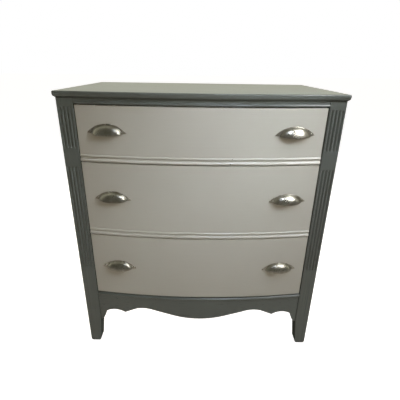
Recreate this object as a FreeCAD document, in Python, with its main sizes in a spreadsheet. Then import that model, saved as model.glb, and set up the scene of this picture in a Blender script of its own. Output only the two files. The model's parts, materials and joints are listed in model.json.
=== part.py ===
import FreeCAD, Part
import math
import os
import re
import Sketcher

# Bow-front dresser with three drawers. Millimetres, Z up, the front looks towards -Y.
# The origin is on the floor, under the middle of the box that holds the whole dresser.

os.makedirs("parts", exist_ok=True)
doc = FreeCAD.newDocument("dresser")

# Driving dimensions, each written once
sizes = [
    # the whole
    ("total_width", 764, "top board, nose to nose"),
    ("total_depth", 474, "top board, front of the bow to the back edge"),
    ("total_height", 840, "floor to the top surface"),
    ("bow", 26, "how far the middle of the front stands ahead of its ends"),
    # top board
    ("top_thickness", 16, "board thickness"),
    ("side_overhang", 5.5, "past the outer faces of the posts"),
    ("front_overhang", 8, "past the front faces of the posts"),
    ("back_overhang", 4, "past the back of the rear posts"),
    ("top_corner", 4, "radius of the front corners in plan"),
    ("top_nose", 3.5, "radius of the upper edge"),
    ("top_ovolo", 9, "radius of the moulding under the edge"),
    # posts
    ("post_width", 43.5, "width of a front or rear post"),
    ("post_depth", 45, "depth of a front post"),
    ("rear_post_depth", 32, "depth of a rear post"),
    ("post_ease", 2, "radius around the front face of a post"),
    ("foot_taper", 9, "how much the foot comes in on its two inner sides"),
    ("taper_height", 104, "height at which the taper starts"),
    ("foot_round", 8, "radius at the bottom of the foot"),
    ("flute_pitch", 9.3, "flute to flute"),
    ("flute_radius", 3.2, "radius of the round cutter"),
    ("flute_depth", 2.6, "depth of a flute"),
    ("flute_head", 22, "case top to the upper flutes"),
    ("flute_block", 51, "plain block between upper and lower flutes"),
    ("flute_foot", 92.5, "bottom rail to the lower flutes"),
    # rails and dividers
    ("case_foot", 212, "floor to the top of the bottom rail"),
    ("top_rail_height", 16, "height of the top rail"),
    ("rail_face_set", 1.5, "plain part of the top rail behind the bow line"),
    ("rail_bead", 8, "height of the bead on the top rail"),
    ("rail_bead_swell", 3.5, "how far that bead stands out"),
    ("bottom_rail_thickness", 19, "thickness of the bottom rail"),
    ("bottom_bead", 11, "height of the bead on the bottom rail"),
    ("bottom_bead_swell", 3.5, "how far that bead stands out"),
    ("divider_thickness", 19, "thickness of the dividers and the runners"),
    ("tenon_length", 10, "rail tenons, into the posts"),
    ("tenon_width", 14, "rail tenons, front to back"),
    ("tenon_thickness", 9, "rail tenons, height"),
    ("tenon_set", 27, "front face of the posts to the tenons"),
    # apron
    ("apron_thickness", 20, "board thickness"),
    ("apron_set", 3, "apron face behind the bow line"),
    ("apron_height", 107, "under the bead to the bracket points"),
    ("block_width", 25, "glue block behind each end of the apron"),
    ("block_height", 60, "height of that block"),
    # side panels and back
    ("panel_thickness", 10, "side panel"),
    ("panel_recess", 6, "side panel behind the outer faces of the posts"),
    ("panel_foot", 165, "floor to the lower edge of the panels"),
    ("tongue", 8, "how far a panel enters its groove"),
    ("back_thickness", 4, "back panel"),
    ("rabbet_width", 12, "rabbet in the rear posts for the back panel"),
    ("rear_rail_height", 40, "height of the rear rails"),
    ("rear_rail_thickness", 20, "thickness of the rear rails"),
    # runners, guides, kickers and stops
    ("runner_width", 30, "runner, inwards from the side of the opening"),
    ("guide_height", 20, "guide beside a drawer"),
    ("kicker_thickness", 20, "strip over the upper drawer"),
    ("stop_length", 40, "stop on the bottom rail, along the rail"),
    ("stop_width", 12, "stop, front to back"),
    ("stop_height", 7, "height of the stop"),
    ("stop_place", 180, "middle of the dresser to the near end of a stop"),
    # drawer fronts
    ("drawer_gap", 2.5, "gap above and below each drawer front"),
    ("end_gap", 2.5, "gap at each end of a drawer front"),
    ("front_recess", 1.5, "drawer face behind the bow line"),
    ("front_thickness", 20, "drawer front"),
    ("front_ease", 1.5, "radius of the upper front edge"),
    ("lip_bead", 10, "large bead at the lower edge"),
    ("lip_bead_swell", 3.5, "how far it stands out"),
    ("lip_groove", 5, "groove above it"),
    ("groove_sink", 1, "depth of that groove"),
    ("small_bead", 5, "small bead above the groove"),
    ("small_bead_swell", 2, "how far it stands out"),
    ("upper_drawer_share", 0.2577, "of the height of the three fronts"),
    ("middle_drawer_share", 0.3814, "of the height of the three fronts"),
    # drawer boxes
    ("side_thickness", 12, "drawer side"),
    ("back_board", 12, "drawer back"),
    ("drawer_clear", 20, "behind a closed drawer, to the rear posts"),
    ("tail_length", 13, "dovetail, along the drawer"),
    ("side_drop", 14, "drawer side below the top of its front"),
    ("back_drop", 6, "drawer back below the top of the sides"),
    ("bottom_thickness", 5, "drawer bottom"),
    ("bottom_inset", 10, "lower edge of the side to the drawer bottom"),
    ("groove_depth", 6, "groove for the drawer bottom"),
    ("dado_depth", 4, "housing of the drawer back in the sides"),
    # cup pulls and their screws
    ("pull_inset", 81.5, "end of the drawer front to the middle of the pull"),
    ("pull_drop", 4.5, "line of the ears below the middle of the plain face"),
    ("pull_width", 108, "ear tip to ear tip"),
    ("plate_thickness", 1.6, "plate that lies on the drawer face"),
    ("plate_rise", 24, "plate above the line of the ears"),
    ("plate_drop", 6, "plate and lip below the line of the ears"),
    ("cup_width", 80, "cup, at the line of the ears"),
    ("cup_rise", 22, "cup above the line of the ears"),
    ("cup_reach", 22, "half depth of the full oval that the cup is part of"),
    ("cup_wall", 1.6, "wall of the cup"),
    ("screw_spacing", 88, "between the two screws of a pull"),
    ("screw_lift", 3.5, "screws above the line of the ears"),
    ("pull_screw_radius", 1.5, "shank"),
    ("pull_screw_length", 14, "under the head"),
    ("pull_head_radius", 2.7, "round head"),
    ("pull_head_height", 1.8, "round head"),
    ("slot_width", 0.8, "slot of a screw"),
    ("slot_depth", 0.9, "slot of a screw"),
    # fasteners of the case
    ("top_screw_radius", 2, "shank"),
    ("top_screw_length", 28, "under the head"),
    ("top_head_radius", 4, "flat head"),
    ("top_head_height", 2.5, "flat head"),
    ("nail_radius", 0.9, "shank"),
    ("nail_length", 16, "under the head"),
    ("nail_head_radius", 2.2, "head"),
    ("nail_head_height", 0.8, "head"),
    ("nail_edge", 6, "nail to the edge of the back panel"),
    # clearances
    ("fit_clearance", 0.2, "panels in their grooves, each side"),
    ("run_clearance", 0.3, "under a drawer side and at a stop"),
    ("overrun", 5, "cutters past the face that they start from"),
]

# Sizes and places worked out from them
worked = [
    ("half_width", "total_width / 2"),
    ("half_case", "half_width - side_overhang"),
    ("half_opening", "half_case - post_width"),
    ("bow_radius", "(half_opening ^ 2 + bow ^ 2) / (2 * bow)"),
    ("case_top", "total_height - top_thickness"),
    # y: the plane of the posts' front faces, the axis that the bow turns round, and the planes behind
    ("front_plane", "bow + front_overhang - total_depth / 2"),
    ("bow_axis", "front_plane - bow + bow_radius"),
    ("front_post_back", "front_plane + post_depth"),
    ("case_back", "total_depth / 2 - back_overhang"),
    ("rear_post_front", "case_back - rear_post_depth"),
    ("back_front", "case_back - back_thickness"),
    ("inside_length", "rear_post_front - front_post_back"),
    ("bow_front", "front_plane - bow"),
    # radii about the bow axis
    ("face_radius", "bow_radius - front_recess"),
    ("front_back_radius", "face_radius - front_thickness"),
    ("divider_radius", "front_back_radius - run_clearance"),
    ("apron_radius", "bow_radius - apron_set"),
    ("top_rail_radius", "bow_radius - rail_face_set"),
    # heights of the fronts
    ("opening_top", "case_top - top_rail_height"),
    ("fronts_height", "opening_top - case_foot - 4 * drawer_gap"),
    ("lip_height", "lip_bead + lip_groove + small_bead"),
    ("upper_front", "fronts_height * upper_drawer_share"),
    ("middle_front", "fronts_height * middle_drawer_share"),
    ("lower_front", "fronts_height - upper_front - middle_front"),
    ("upper_foot", "opening_top - drawer_gap - upper_front"),
    ("middle_foot", "upper_foot - drawer_gap - middle_front"),
    ("lower_foot", "case_foot + drawer_gap"),
    # the surfaces that the drawers run on
    ("upper_floor", "upper_foot + lip_height"),
    ("middle_floor", "middle_foot + lip_height"),
    ("lower_floor", "case_foot"),
    # drawer boxes
    ("half_front", "half_opening - end_gap"),
    ("half_inside", "half_front - side_thickness"),
    ("tail_tip", "front_plane + front_recess + front_thickness - tail_length"),
    ("drawer_rear", "rear_post_front - drawer_clear"),
    ("side_length", "drawer_rear - tail_tip"),
    ("upper_side", "upper_foot + upper_front - side_drop - upper_floor - run_clearance"),
    ("middle_side", "middle_foot + middle_front - side_drop - middle_floor - run_clearance"),
    ("lower_side", "lower_foot + lower_front - side_drop - lower_floor - run_clearance"),
    # height of the pulls, a little under the middle of each plain face
    ("upper_pull_line", "(upper_floor + upper_foot + upper_front) / 2 - pull_drop"),
    ("middle_pull_line", "(middle_floor + middle_foot + middle_front) / 2 - pull_drop"),
    ("lower_pull_line", "lower_foot + lower_front / 2 - pull_drop"),
    ("pull_place", "half_front - pull_inset"),
    ("cup_radius", "(cup_width ^ 2 / 4 + cup_rise ^ 2) / (2 * cup_rise)"),
    # side panels and what stands inside them
    ("panel_outside", "half_case - panel_recess"),
    ("panel_inside", "panel_outside - panel_thickness"),
    ("runner_inside", "half_opening - runner_width"),
    ("runner_span", "panel_inside - runner_inside"),
    ("kicker_foot", "case_top - kicker_thickness"),
    ("bead_foot", "case_foot - bottom_bead"),
    ("apron_foot", "bead_foot - apron_height"),
    ("back_half", "half_opening + rabbet_width"),
    # the closed front comes back to here at the outer end of a stop
    ("stop_front", "bow_axis - sqrt(front_back_radius ^ 2 - (stop_place + stop_length) ^ 2) + run_clearance"),
]

sheet = doc.addObject("Spreadsheet::Sheet", "Sizes")
for row, (word, size, note) in enumerate(sizes, start=1):
    sheet.set("A%d" % row, word)
    sheet.set("B%d" % row, str(size))
    sheet.set("C%d" % row, note)
    sheet.setAlias("B%d" % row, word)

home = {word: "Sizes." + word for word, size, note in sizes}
home.update({word: "Worked." + word for word, formula in worked})


def bound(text):
    # an expression in plain size names becomes one that names the sheet of each
    return re.sub(r"[a-z]\w*", lambda found: home.get(found.group(), found.group()), text)


results = doc.addObject("Spreadsheet::Sheet", "Worked")
for row, (word, formula) in enumerate(worked, start=1):
    results.set("A%d" % row, word)
    results.set("B%d" % row, "=" + bound(formula))
    results.setAlias("B%d" % row, word)
doc.recompute()


def value(text):
    return float(sheet.evalExpression(bound(text)))


def bind(piece, name, text):
    piece.setExpression(name, bound(text))


def place(piece, x="0", y="0", z="0", turn=None):
    for name, text in (("x", x), ("y", y), ("z", z)):
        bind(piece, ".Placement.Base." + name, text)
    if turn:
        piece.Placement.Rotation.Axis = FreeCAD.Vector(0, 0, 1)
        bind(piece, ".Placement.Rotation.Angle", turn)
    return piece


def box(name, x, y, z, length, width, height):
    piece = doc.addObject("Part::Box", name)
    bind(piece, "Length", length)
    bind(piece, "Width", width)
    bind(piece, "Height", height)
    return place(piece, x, y, z)


def cut(name, base, *tools):
    for number, tool in enumerate(tools, start=1):
        last = number == len(tools)
        piece = doc.addObject("Part::Cut", name if last else "%s_cut_%d" % (name, number))
        piece.Base = base
        piece.Tool = tool
        base = piece
    return base


def common(name, base, tool):
    piece = doc.addObject("Part::Common", name)
    piece.Base = base
    piece.Tool = tool
    return piece


def fuse(name, *shapes):
    piece = doc.addObject("Part::MultiFuse", name)
    piece.Shapes = list(shapes)
    return piece


def group(name, members):
    piece = doc.addObject("Part::Compound", name)
    piece.Links = members
    return piece


def mirror(name, source):
    # the same piece on the other side of the plane x = 0
    piece = doc.addObject("Part::Mirroring", name)
    piece.Source = source
    piece.Normal = FreeCAD.Vector(1, 0, 0)
    return piece


def copyOf(source, name):
    piece = doc.addObject("App::Link", name)
    piece.LinkedObject = source
    return piece


def origin(body, role):
    return [item for item in body.Origin.OriginFeatures if item.Role == role][0]


def outline(body, name, plane, corners, arcs=None):
    # A closed outline through the corners. arcs names the sides that are round: for the side that leaves
    # corner i, "rise" or "radius", its size, and "left" or "right", the way it bulges.
    arcs = arcs or {}
    sketch = body.newObject("Sketcher::SketchObject", name)
    sketch.AttachmentSupport = [(origin(body, plane), "")]
    sketch.MapMode = "FlatFace"
    points = [FreeCAD.Vector(value(x), value(y), 0) for x, y in corners]
    count = len(points)
    ends = []
    radii = {}
    for i in range(count):
        start = points[i]
        finish = points[(i + 1) % count]
        if i not in arcs:
            sketch.addGeometry(Part.LineSegment(start, finish))
            ends.append((1, 2))
            continue
        kind, size, side = arcs[i]
        if kind == "rise":
            (ax, ay), (bx, by) = corners[i], corners[(i + 1) % count]
            chord = "((%s - (%s)) ^ 2 + (%s - (%s)) ^ 2)" % (bx, ax, by, ay)
            size = "%s / (8 * (%s)) + (%s) / 2" % (chord, size, size)
        radius = value(size)
        radii[i] = size
        along = finish - start
        half = along.Length / 2
        across = FreeCAD.Vector(along.y, -along.x, 0).normalize()
        if side == "right":
            across = across * -1
        centre = (start + finish) * 0.5 + across * math.sqrt(max(radius ** 2 - half ** 2, 0))
        first, second = (finish, start) if side == "left" else (start, finish)
        begin = math.atan2(first.y - centre.y, first.x - centre.x)
        end = math.atan2(second.y - centre.y, second.x - centre.x)
        if end < begin:
            end += 2 * math.pi
        circle = Part.Circle(centre, FreeCAD.Vector(0, 0, 1), radius)
        sketch.addGeometry(Part.ArcOfCircle(circle, begin, end))
        ends.append((2, 1) if side == "left" else (1, 2))
    for i in range(count):
        after = (i + 1) % count
        sketch.addConstraint(Sketcher.Constraint("Coincident", i, ends[i][1], after, ends[after][0]))
    for i, (x, y) in enumerate(corners):
        for text, direction, axis in ((x, "DistanceX", -2), (y, "DistanceY", -1)):
            if text == "0":
                sketch.addConstraint(Sketcher.Constraint("PointOnObject", i, ends[i][0], axis))
                continue
            rule = Sketcher.Constraint(direction, -1, 1, i, ends[i][0], value(text))
            number = sketch.addConstraint(rule)
            bind(sketch, "Constraints[%d]" % number, text)
    for i, size in radii.items():
        number = sketch.addConstraint(Sketcher.Constraint("Radius", i, value(size)))
        bind(sketch, "Constraints[%d]" % number, size)
    return sketch


def padded(name, plane, corners, depth, arcs=None, backwards=False):
    # a board: an outline given a thickness
    body = doc.addObject("PartDesign::Body", name)
    pad = body.newObject("PartDesign::Pad", name + "_board")
    pad.Profile = outline(body, name + "_outline", plane, corners, arcs)
    pad.Reversed = backwards
    bind(pad, "Length", depth)
    body.Tip = pad
    return body


def bowed(name, corners, arcs=None):
    # A bent piece: a section, as radius and height, swung about the upright axis of the bow.
    # It is longer than any rail, and its ends are trimmed where it is used.
    body = doc.addObject("PartDesign::Body", name)
    ring = body.newObject("PartDesign::Revolution", name + "_ring")
    turned = [("-(%s)" % radius, height) for radius, height in corners]
    ring.Profile = outline(body, name + "_section", "YZ_Plane", turned, arcs)
    ring.ReferenceAxis = (origin(body, "Z_Axis"), [""])
    ring.Midplane = True
    bind(ring, "Angle", "2 * asin(half_case / bow_radius)")
    body.Tip = ring
    return place(body, y="bow_axis")


def turnedPiece(name, corners, arcs=None):
    # a round piece: half its section, as radius and height, swung all the way round
    body = doc.addObject("PartDesign::Body", name)
    ring = body.newObject("PartDesign::Revolution", name + "_ring")
    ring.Profile = outline(body, name + "_section", "XZ_Plane", corners, arcs)
    ring.ReferenceAxis = (origin(body, "Z_Axis"), [""])
    body.Tip = ring
    return body


# The pieces that are written to files, by name
pieces = {}

# Fasteners, upright on the origin with the underside of the head at z = 0
topScrew = turnedPiece("top_screw", [
    ("0", "-top_screw_length"), ("top_screw_radius", "-top_screw_length + top_screw_radius"),
    ("top_screw_radius", "0"), ("top_head_radius", "top_head_height"), ("0", "top_head_height")])
nail = turnedPiece("nail", [
    ("0", "-nail_length"), ("nail_radius", "-nail_length + nail_radius"), ("nail_radius", "0"),
    ("nail_head_radius", "0"), ("nail_head_radius", "nail_head_height"), ("0", "nail_head_height")])
pullScrewBlank = turnedPiece("pull_screw_blank", [
    ("0", "-pull_screw_length"), ("pull_screw_radius", "-pull_screw_length + pull_screw_radius"),
    ("pull_screw_radius", "0"), ("pull_head_radius", "0"), ("0", "pull_head_height")],
    {3: ("rise", "pull_head_height / 4", "right")})
slot = box("pull_screw_slot", "-pull_head_radius", "-slot_width / 2", "pull_head_height - slot_depth",
           "2 * pull_head_radius", "slot_width", "slot_depth + overrun")
pullScrew = cut("pull_screw", pullScrewBlank, slot)

# Rails. The section of each is swung about the bow axis and trimmed between the posts.
railSpace = box("rail_space", "-half_opening", "front_plane - bow - overrun - front_overhang", "0",
                "2 * half_opening", "bow + overrun + front_overhang + post_depth", "total_height")


def rail(name, top, thickness, corners, arcs=None):
    # with a tenon at each end, at half its thickness
    trimmed = common(name + "_trimmed", bowed(name + "_bent", corners, arcs), railSpace)
    tenonFoot = "%s - (%s + tenon_thickness) / 2" % (top, thickness)
    tenons = box(name + "_tenons", "-(half_opening + tenon_length)", "front_plane + tenon_set", tenonFoot,
                 "2 * (half_opening + tenon_length)", "tenon_width", "tenon_thickness")
    pieces[name] = fuse(name, trimmed, tenons)


railBack = "bow_radius - bow - post_depth - overrun"
rail("top_rail", "case_top", "top_rail_height", [
    (railBack, "opening_top"), ("top_rail_radius", "opening_top"),
    ("top_rail_radius", "opening_top + rail_bead"), ("top_rail_radius", "case_top"),
    (railBack, "case_top")], {1: ("rise", "rail_bead_swell", "left")})
for name, floor in (("upper_divider", "upper_floor"), ("lower_divider", "middle_floor")):
    rail(name, floor, "divider_thickness", [
        (railBack, floor + " - divider_thickness"), ("divider_radius", floor + " - divider_thickness"),
        ("divider_radius", floor), (railBack, floor)])
# the bottom rail carries its bead in front of the apron's upper edge
rail("bottom_rail", "case_foot", "bottom_rail_thickness", [
    (railBack, "case_foot - bottom_rail_thickness"),
    ("apron_radius - apron_thickness", "case_foot - bottom_rail_thickness"),
    ("apron_radius - apron_thickness", "bead_foot"), ("apron_radius", "bead_foot"),
    ("apron_radius", "case_foot"), (railBack, "case_foot")],
    {3: ("rise", "bottom_bead_swell", "left")})

# Apron: a bent board, its ends against the posts, its lower edge scalloped
apronBent = bowed("apron_bent", [
    ("apron_radius - apron_thickness", "apron_foot"), ("apron_radius", "apron_foot"),
    ("apron_radius", "bead_foot"), ("apron_radius - apron_thickness", "bead_foot")])
# half of the lower edge, middle to bracket point: shares of the half opening and of the apron's height
scallop_shares = [
    (0.26, 0.613), (0.448, 0.453), (0.621, 0.448), (0.738, 0.623), (0.937, 0.66), (0.988, 1)]
# rises of its round stretches, as shares of the apron's height: middle, arch, small arch, bracket
middle_rise_share = 0.114
arch_rise_share = 0.044
small_arch_rise_share = 0.097
bracket_rise_share = 0.033
edge = [("%s * half_opening" % x, "bead_foot - %s * apron_height" % z) for x, z in scallop_shares]
otherEdge = [("-(%s)" % x, z) for x, z in reversed(edge)]
under = [(x, "apron_foot - overrun") for x, z in (edge[-1], otherEdge[0])]
middleSide = len(edge) - 1
rises = {
    middleSide: ("rise", "%s * apron_height" % middle_rise_share, "right"),
    middleSide + 2: ("rise", "%s * apron_height" % arch_rise_share, "left"),
    middleSide + 4: ("rise", "%s * apron_height" % small_arch_rise_share, "left"),
    middleSide + 5: ("rise", "%s * apron_height" % bracket_rise_share, "right"),
    0: ("rise", "%s * apron_height" % bracket_rise_share, "right"),
    1: ("rise", "%s * apron_height" % small_arch_rise_share, "left"),
    3: ("rise", "%s * apron_height" % arch_rise_share, "left"),
}
scallop = padded("apron_scallop", "XZ_Plane", otherEdge + edge + under,
                 "bow + apron_thickness + 2 * overrun", rises)
place(scallop, y="front_plane + apron_set + apron_thickness + overrun")
pieces["apron"] = cut("apron", common("apron_trimmed", apronBent, railSpace), scallop)

# glue blocks in the corners behind the apron, shaped to its back
blockFront = "front_plane + apron_set + apron_thickness / 2"
blockCorner = box("apron_block_corner", "half_opening - block_width", blockFront,
                  "case_foot - bottom_rail_thickness - block_height", "block_width",
                  "front_post_back - (%s)" % blockFront, "block_height")
pieces["apron_block_right"] = cut("apron_block_right", blockCorner, apronBent)
pieces["apron_block_left"] = mirror("apron_block_left", pieces["apron_block_right"])

# Rear rails, side panels and back panel
for name, foot in (("rear_rail_top", "case_top - rear_rail_height"), ("rear_rail_bottom", "panel_foot")):
    pieces[name] = box(name, "-(half_opening + tenon_length)", "back_front - rear_rail_thickness", foot,
                       "2 * (half_opening + tenon_length)", "rear_rail_thickness", "rear_rail_height")
pieces["side_panel_right"] = box(
    "side_panel_right", "panel_inside", "front_post_back - tongue", "panel_foot",
    "panel_thickness", "inside_length + 2 * tongue", "case_top - panel_foot")
pieces["side_panel_left"] = mirror("side_panel_left", pieces["side_panel_right"])
panelGroove = box(
    "panel_groove", "panel_inside - fit_clearance", "front_post_back - tongue - fit_clearance",
    "panel_foot - fit_clearance", "panel_thickness + 2 * fit_clearance",
    "inside_length + 2 * (tongue + fit_clearance)", "case_top - panel_foot + overrun")
backBoard = box("back_board", "-back_half", "back_front", "panel_foot",
                "2 * back_half", "back_thickness", "case_top - panel_foot")
backRabbet = box("back_rabbet", "-back_half - fit_clearance", "back_front", "panel_foot - fit_clearance",
                 "2 * (back_half + fit_clearance)", "back_thickness + overrun",
                 "case_top - panel_foot + overrun")

# Nails through the back panel: up the posts, and along both rear rails
nailLine = "back_half - nail_edge"
nail_height_shares = (0.1, 0.37, 0.63, 0.9)
nail_width_shares = (-0.5, 0, 0.5)
nailSpots = []
for share in nail_height_shares:
    for side in ("", "-"):
        nailSpots.append(("%s(%s)" % (side, nailLine), "panel_foot + %s * (case_top - panel_foot)" % share))
for share in nail_width_shares:
    for level in ("panel_foot + rear_rail_height / 2", "case_top - rear_rail_height / 2"):
        nailSpots.append(("%s * back_half" % share, level))
nails = []
for number, (x, z) in enumerate(nailSpots, start=1):
    copy = place(copyOf(nail, "nail_%d" % number), x, "case_back", z)
    copy.Placement.Rotation = FreeCAD.Rotation(FreeCAD.Vector(1, 0, 0), -90)
    nails.append(copy)
pieces["back_nails"] = group("back_nails", nails)
pieces["back_panel"] = cut("back_panel", backBoard, pieces["back_nails"])
for name in ("rear_rail_top", "rear_rail_bottom"):
    plain = pieces[name]
    plain.Label = name + "_board"
    pieces[name] = cut(name + "_drilled", plain, pieces["back_nails"])

# Front posts: the face outline with its tapered, rounded foot, given its depth, eased and fluted
faceCorners = [
    ("0", "case_top"), ("0", "taper_height"), ("foot_taper", "foot_round"),
    ("foot_taper + foot_round", "0"), ("post_width - foot_round", "0"), ("post_width", "foot_round"),
    ("post_width", "case_top")]
faceArcs = {2: ("radius", "foot_round", "right"), 4: ("radius", "foot_round", "right")}


def taperWedge(name, side, inside, outside):
    # what the taper takes off the back of a front post, or off the front of a rear post
    return padded(name, "YZ_Plane", [
        (inside, "0"), (outside, "0"), (outside, "taper_height"), (side, "taper_height")], "post_width")


def edgesOf(shape, wanted):
    return ["Edge%d" % (i + 1) for i, item in enumerate(shape.Edges) if wanted(item.BoundBox)]


postBody = padded("front_post_blank", "XZ_Plane", faceCorners, "post_depth", faceArcs, backwards=True)
doc.recompute()
postBoard = postBody.Tip
tiny = value("fit_clearance")
caseTop = value("case_top")
faceEdges = edgesOf(postBoard.Shape, lambda span: span.YMax < tiny and span.ZMin < caseTop - tiny)
ease = postBody.newObject("PartDesign::Fillet", "front_post_ease")
ease.Base = (postBoard, faceEdges)
bind(ease, "Radius", "post_ease")
postBody.Tip = ease
flute_count = 4
blockMiddle = "upper_foot + lip_height / 2"
fluteSets = {
    "upper": (blockMiddle + " + flute_block / 2", "case_top - flute_head"),
    "lower": ("case_foot + flute_foot", blockMiddle + " - flute_block / 2"),
}
for level, (low, high) in fluteSets.items():
    axis = "flute_depth - flute_radius"
    sketch = outline(postBody, level + "_flute_section", "YZ_Plane", [
        (axis, low), (axis + " + flute_radius", low + " + flute_radius"),
        (axis + " + flute_radius", high + " - flute_radius"), (axis, high)],
        {0: ("radius", "flute_radius", "right"), 2: ("radius", "flute_radius", "right")})
    bind(sketch, ".AttachmentOffset.Base.z", "post_width / 2 - %d * flute_pitch / 2" % (flute_count - 1))
    flute = postBody.newObject("PartDesign::Groove", level + "_flute")
    flute.Profile = sketch
    flute.ReferenceAxis = (sketch, ["Edge4"])
    postBody.Tip = flute
    row = postBody.newObject("PartDesign::LinearPattern", level + "_flutes")
    row.Originals = [flute]
    row.Direction = (origin(postBody, "X_Axis"), [""])
    row.Occurrences = flute_count
    bind(row, "Length", "%d * flute_pitch" % (flute_count - 1))
    postBody.Tip = row
place(postBody, "half_opening", "front_plane")
frontWedge = taperWedge("front_wedge", "post_depth", "post_depth - foot_taper", "post_depth + overrun")
place(frontWedge, "half_opening", "front_plane")
pieces["front_post_right"] = cut(
    "front_post_right", postBody, frontWedge, panelGroove, pieces["top_rail"], pieces["upper_divider"],
    pieces["lower_divider"], pieces["bottom_rail"])
pieces["front_post_left"] = mirror("front_post_left", pieces["front_post_right"])

# Rear posts
rearBody = padded("rear_post_blank", "XZ_Plane", faceCorners, "rear_post_depth", faceArcs, backwards=True)
place(rearBody, "half_opening", "rear_post_front")
rearWedge = taperWedge("rear_wedge", "0", "foot_taper", "-overrun")
place(rearWedge, "half_opening", "rear_post_front")
pieces["rear_post_right"] = cut(
    "rear_post_right", rearBody, rearWedge, panelGroove, backRabbet, pieces["rear_rail_top"],
    pieces["rear_rail_bottom"], pieces["back_nails"])
pieces["rear_post_left"] = mirror("rear_post_left", pieces["rear_post_right"])

# Kickers over the upper drawer, screwed up into the top board
kickerBoard = box("kicker_board", "runner_inside", "front_post_back", "kicker_foot",
                  "runner_span", "inside_length", "kicker_thickness")
screw_shares = (0.12, 0.5, 0.88)
screws = []
for number, share in enumerate(screw_shares, start=1):
    for side, sign in (("right", ""), ("left", "-")):
        copy = copyOf(topScrew, "top_screw_%s_%d" % (side, number))
        place(copy, "%s(runner_inside + runner_span / 3)" % sign,
              "front_post_back + %s * inside_length" % share, "kicker_foot + top_head_height")
        copy.Placement.Rotation = FreeCAD.Rotation(FreeCAD.Vector(1, 0, 0), 180)
        screws.append(copy)
pieces["top_screws"] = group("top_screws", screws)
pieces["kicker_right"] = cut("kicker_right", kickerBoard, pieces["top_screws"])
pieces["kicker_left"] = mirror("kicker_left", pieces["kicker_right"])

# Top board: straight over the posts, bowed between them, rounded above and moulded below
frontEdge = "front_plane - front_overhang"
topBody = padded("top_blank", "XY_Plane", [
    ("-half_width", "total_depth / 2"), ("-half_width", frontEdge + " + top_corner"),
    ("-(half_width - top_corner)", frontEdge), ("-half_opening", frontEdge), ("half_opening", frontEdge),
    ("half_width - top_corner", frontEdge), ("half_width", frontEdge + " + top_corner"),
    ("half_width", "total_depth / 2")], "top_thickness", {
        1: ("radius", "top_corner", "right"),
        3: ("rise", "bow", "right"),
        5: ("radius", "top_corner", "right")})
doc.recompute()
backEdge = value("total_depth / 2")


def moulded(name, level, radius):
    # rounds the front and both ends of the top board at one level
    base = topBody.Tip
    rounding = topBody.newObject("PartDesign::Fillet", name)
    rounding.Base = (base, edgesOf(base.Shape, lambda span: abs(span.ZMax - level) < tiny
                                   and abs(span.ZMin - level) < tiny and span.YMin < backEdge - tiny))
    bind(rounding, "Radius", radius)
    topBody.Tip = rounding
    doc.recompute()


moulded("top_nose_edge", value("top_thickness"), "top_nose")
moulded("top_ovolo_edge", 0, "top_ovolo")
place(topBody, z="case_top")
pieces["top_board"] = cut("top_board", topBody, pieces["top_screws"])

# Runners under the drawer sides and guides beside them
for level in ("upper", "middle", "lower"):
    floor = level + "_floor"
    runner = box(level + "_runner_right", "runner_inside", "front_post_back", floor + " - divider_thickness",
                 "runner_span", "inside_length", "divider_thickness")
    guide = box(level + "_guide_right", "half_opening", "front_post_back", floor,
                "panel_inside - half_opening", "inside_length", "guide_height")
    pieces[level + "_runner_right"] = runner
    pieces[level + "_runner_left"] = mirror(level + "_runner_left", runner)
    pieces[level + "_guide_right"] = guide
    pieces[level + "_guide_left"] = mirror(level + "_guide_left", guide)

# Stops for the lower drawer, on the bottom rail behind its front
pieces["drawer_stop_right"] = box("drawer_stop_right", "stop_place", "stop_front", "case_foot",
                                  "stop_length", "stop_width", "stop_height")
pieces["drawer_stop_left"] = mirror("drawer_stop_left", pieces["drawer_stop_right"])

# Cup pull, on its own origin: the drawer face touches it at y = 0, and its ears lie along x
plateCorners = [("-pull_width / 2", "0"), ("pull_width / 2", "0")]
plateArcs = {0: ("rise", "plate_drop", "right"), 1: ("rise", "plate_rise", "right")}
curveRoom = "(pull_width / 2) ^ 2 / face_radius"
plate = place(padded("pull_plate", "XZ_Plane", plateCorners, "plate_thickness + " + curveRoom, plateArcs),
              y=curveRoom)
cupSpace = padded("pull_cup_space", "XZ_Plane", plateCorners, "cup_reach", plateArcs)


def oval(name, thinner):
    piece = doc.addObject("Part::Ellipsoid", name)
    bind(piece, "Radius1", "cup_radius" + thinner)
    bind(piece, "Radius2", "cup_radius" + thinner)
    bind(piece, "Radius3", "cup_reach" + thinner)
    return place(piece, z="cup_rise - cup_radius")


cupOutside = common("pull_cup", oval("pull_oval", ""), cupSpace)
drawerFace = doc.addObject("Part::Cylinder", "pull_face_cutter")
bind(drawerFace, "Radius", "face_radius")
bind(drawerFace, "Height", "4 * plate_rise")
place(drawerFace, y="face_radius", z="-2 * plate_rise")
pullBlank = cut("pull_blank", fuse("pull_solid", plate, cupOutside), oval("pull_oval_inside", " - cup_wall"),
                drawerFace)
pairLinks = []
for side, sign in (("right", ""), ("left", "-")):
    copy = copyOf(pullScrew, "pull_screw_" + side)
    place(copy, sign + "screw_spacing / 2", "-plate_thickness", "screw_lift")
    copy.Placement.Rotation = FreeCAD.Rotation(FreeCAD.Vector(1, 0, 0), 90)
    pairLinks.append(copy)
screwPair = group("pull_screw_pair", pairLinks)

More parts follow.
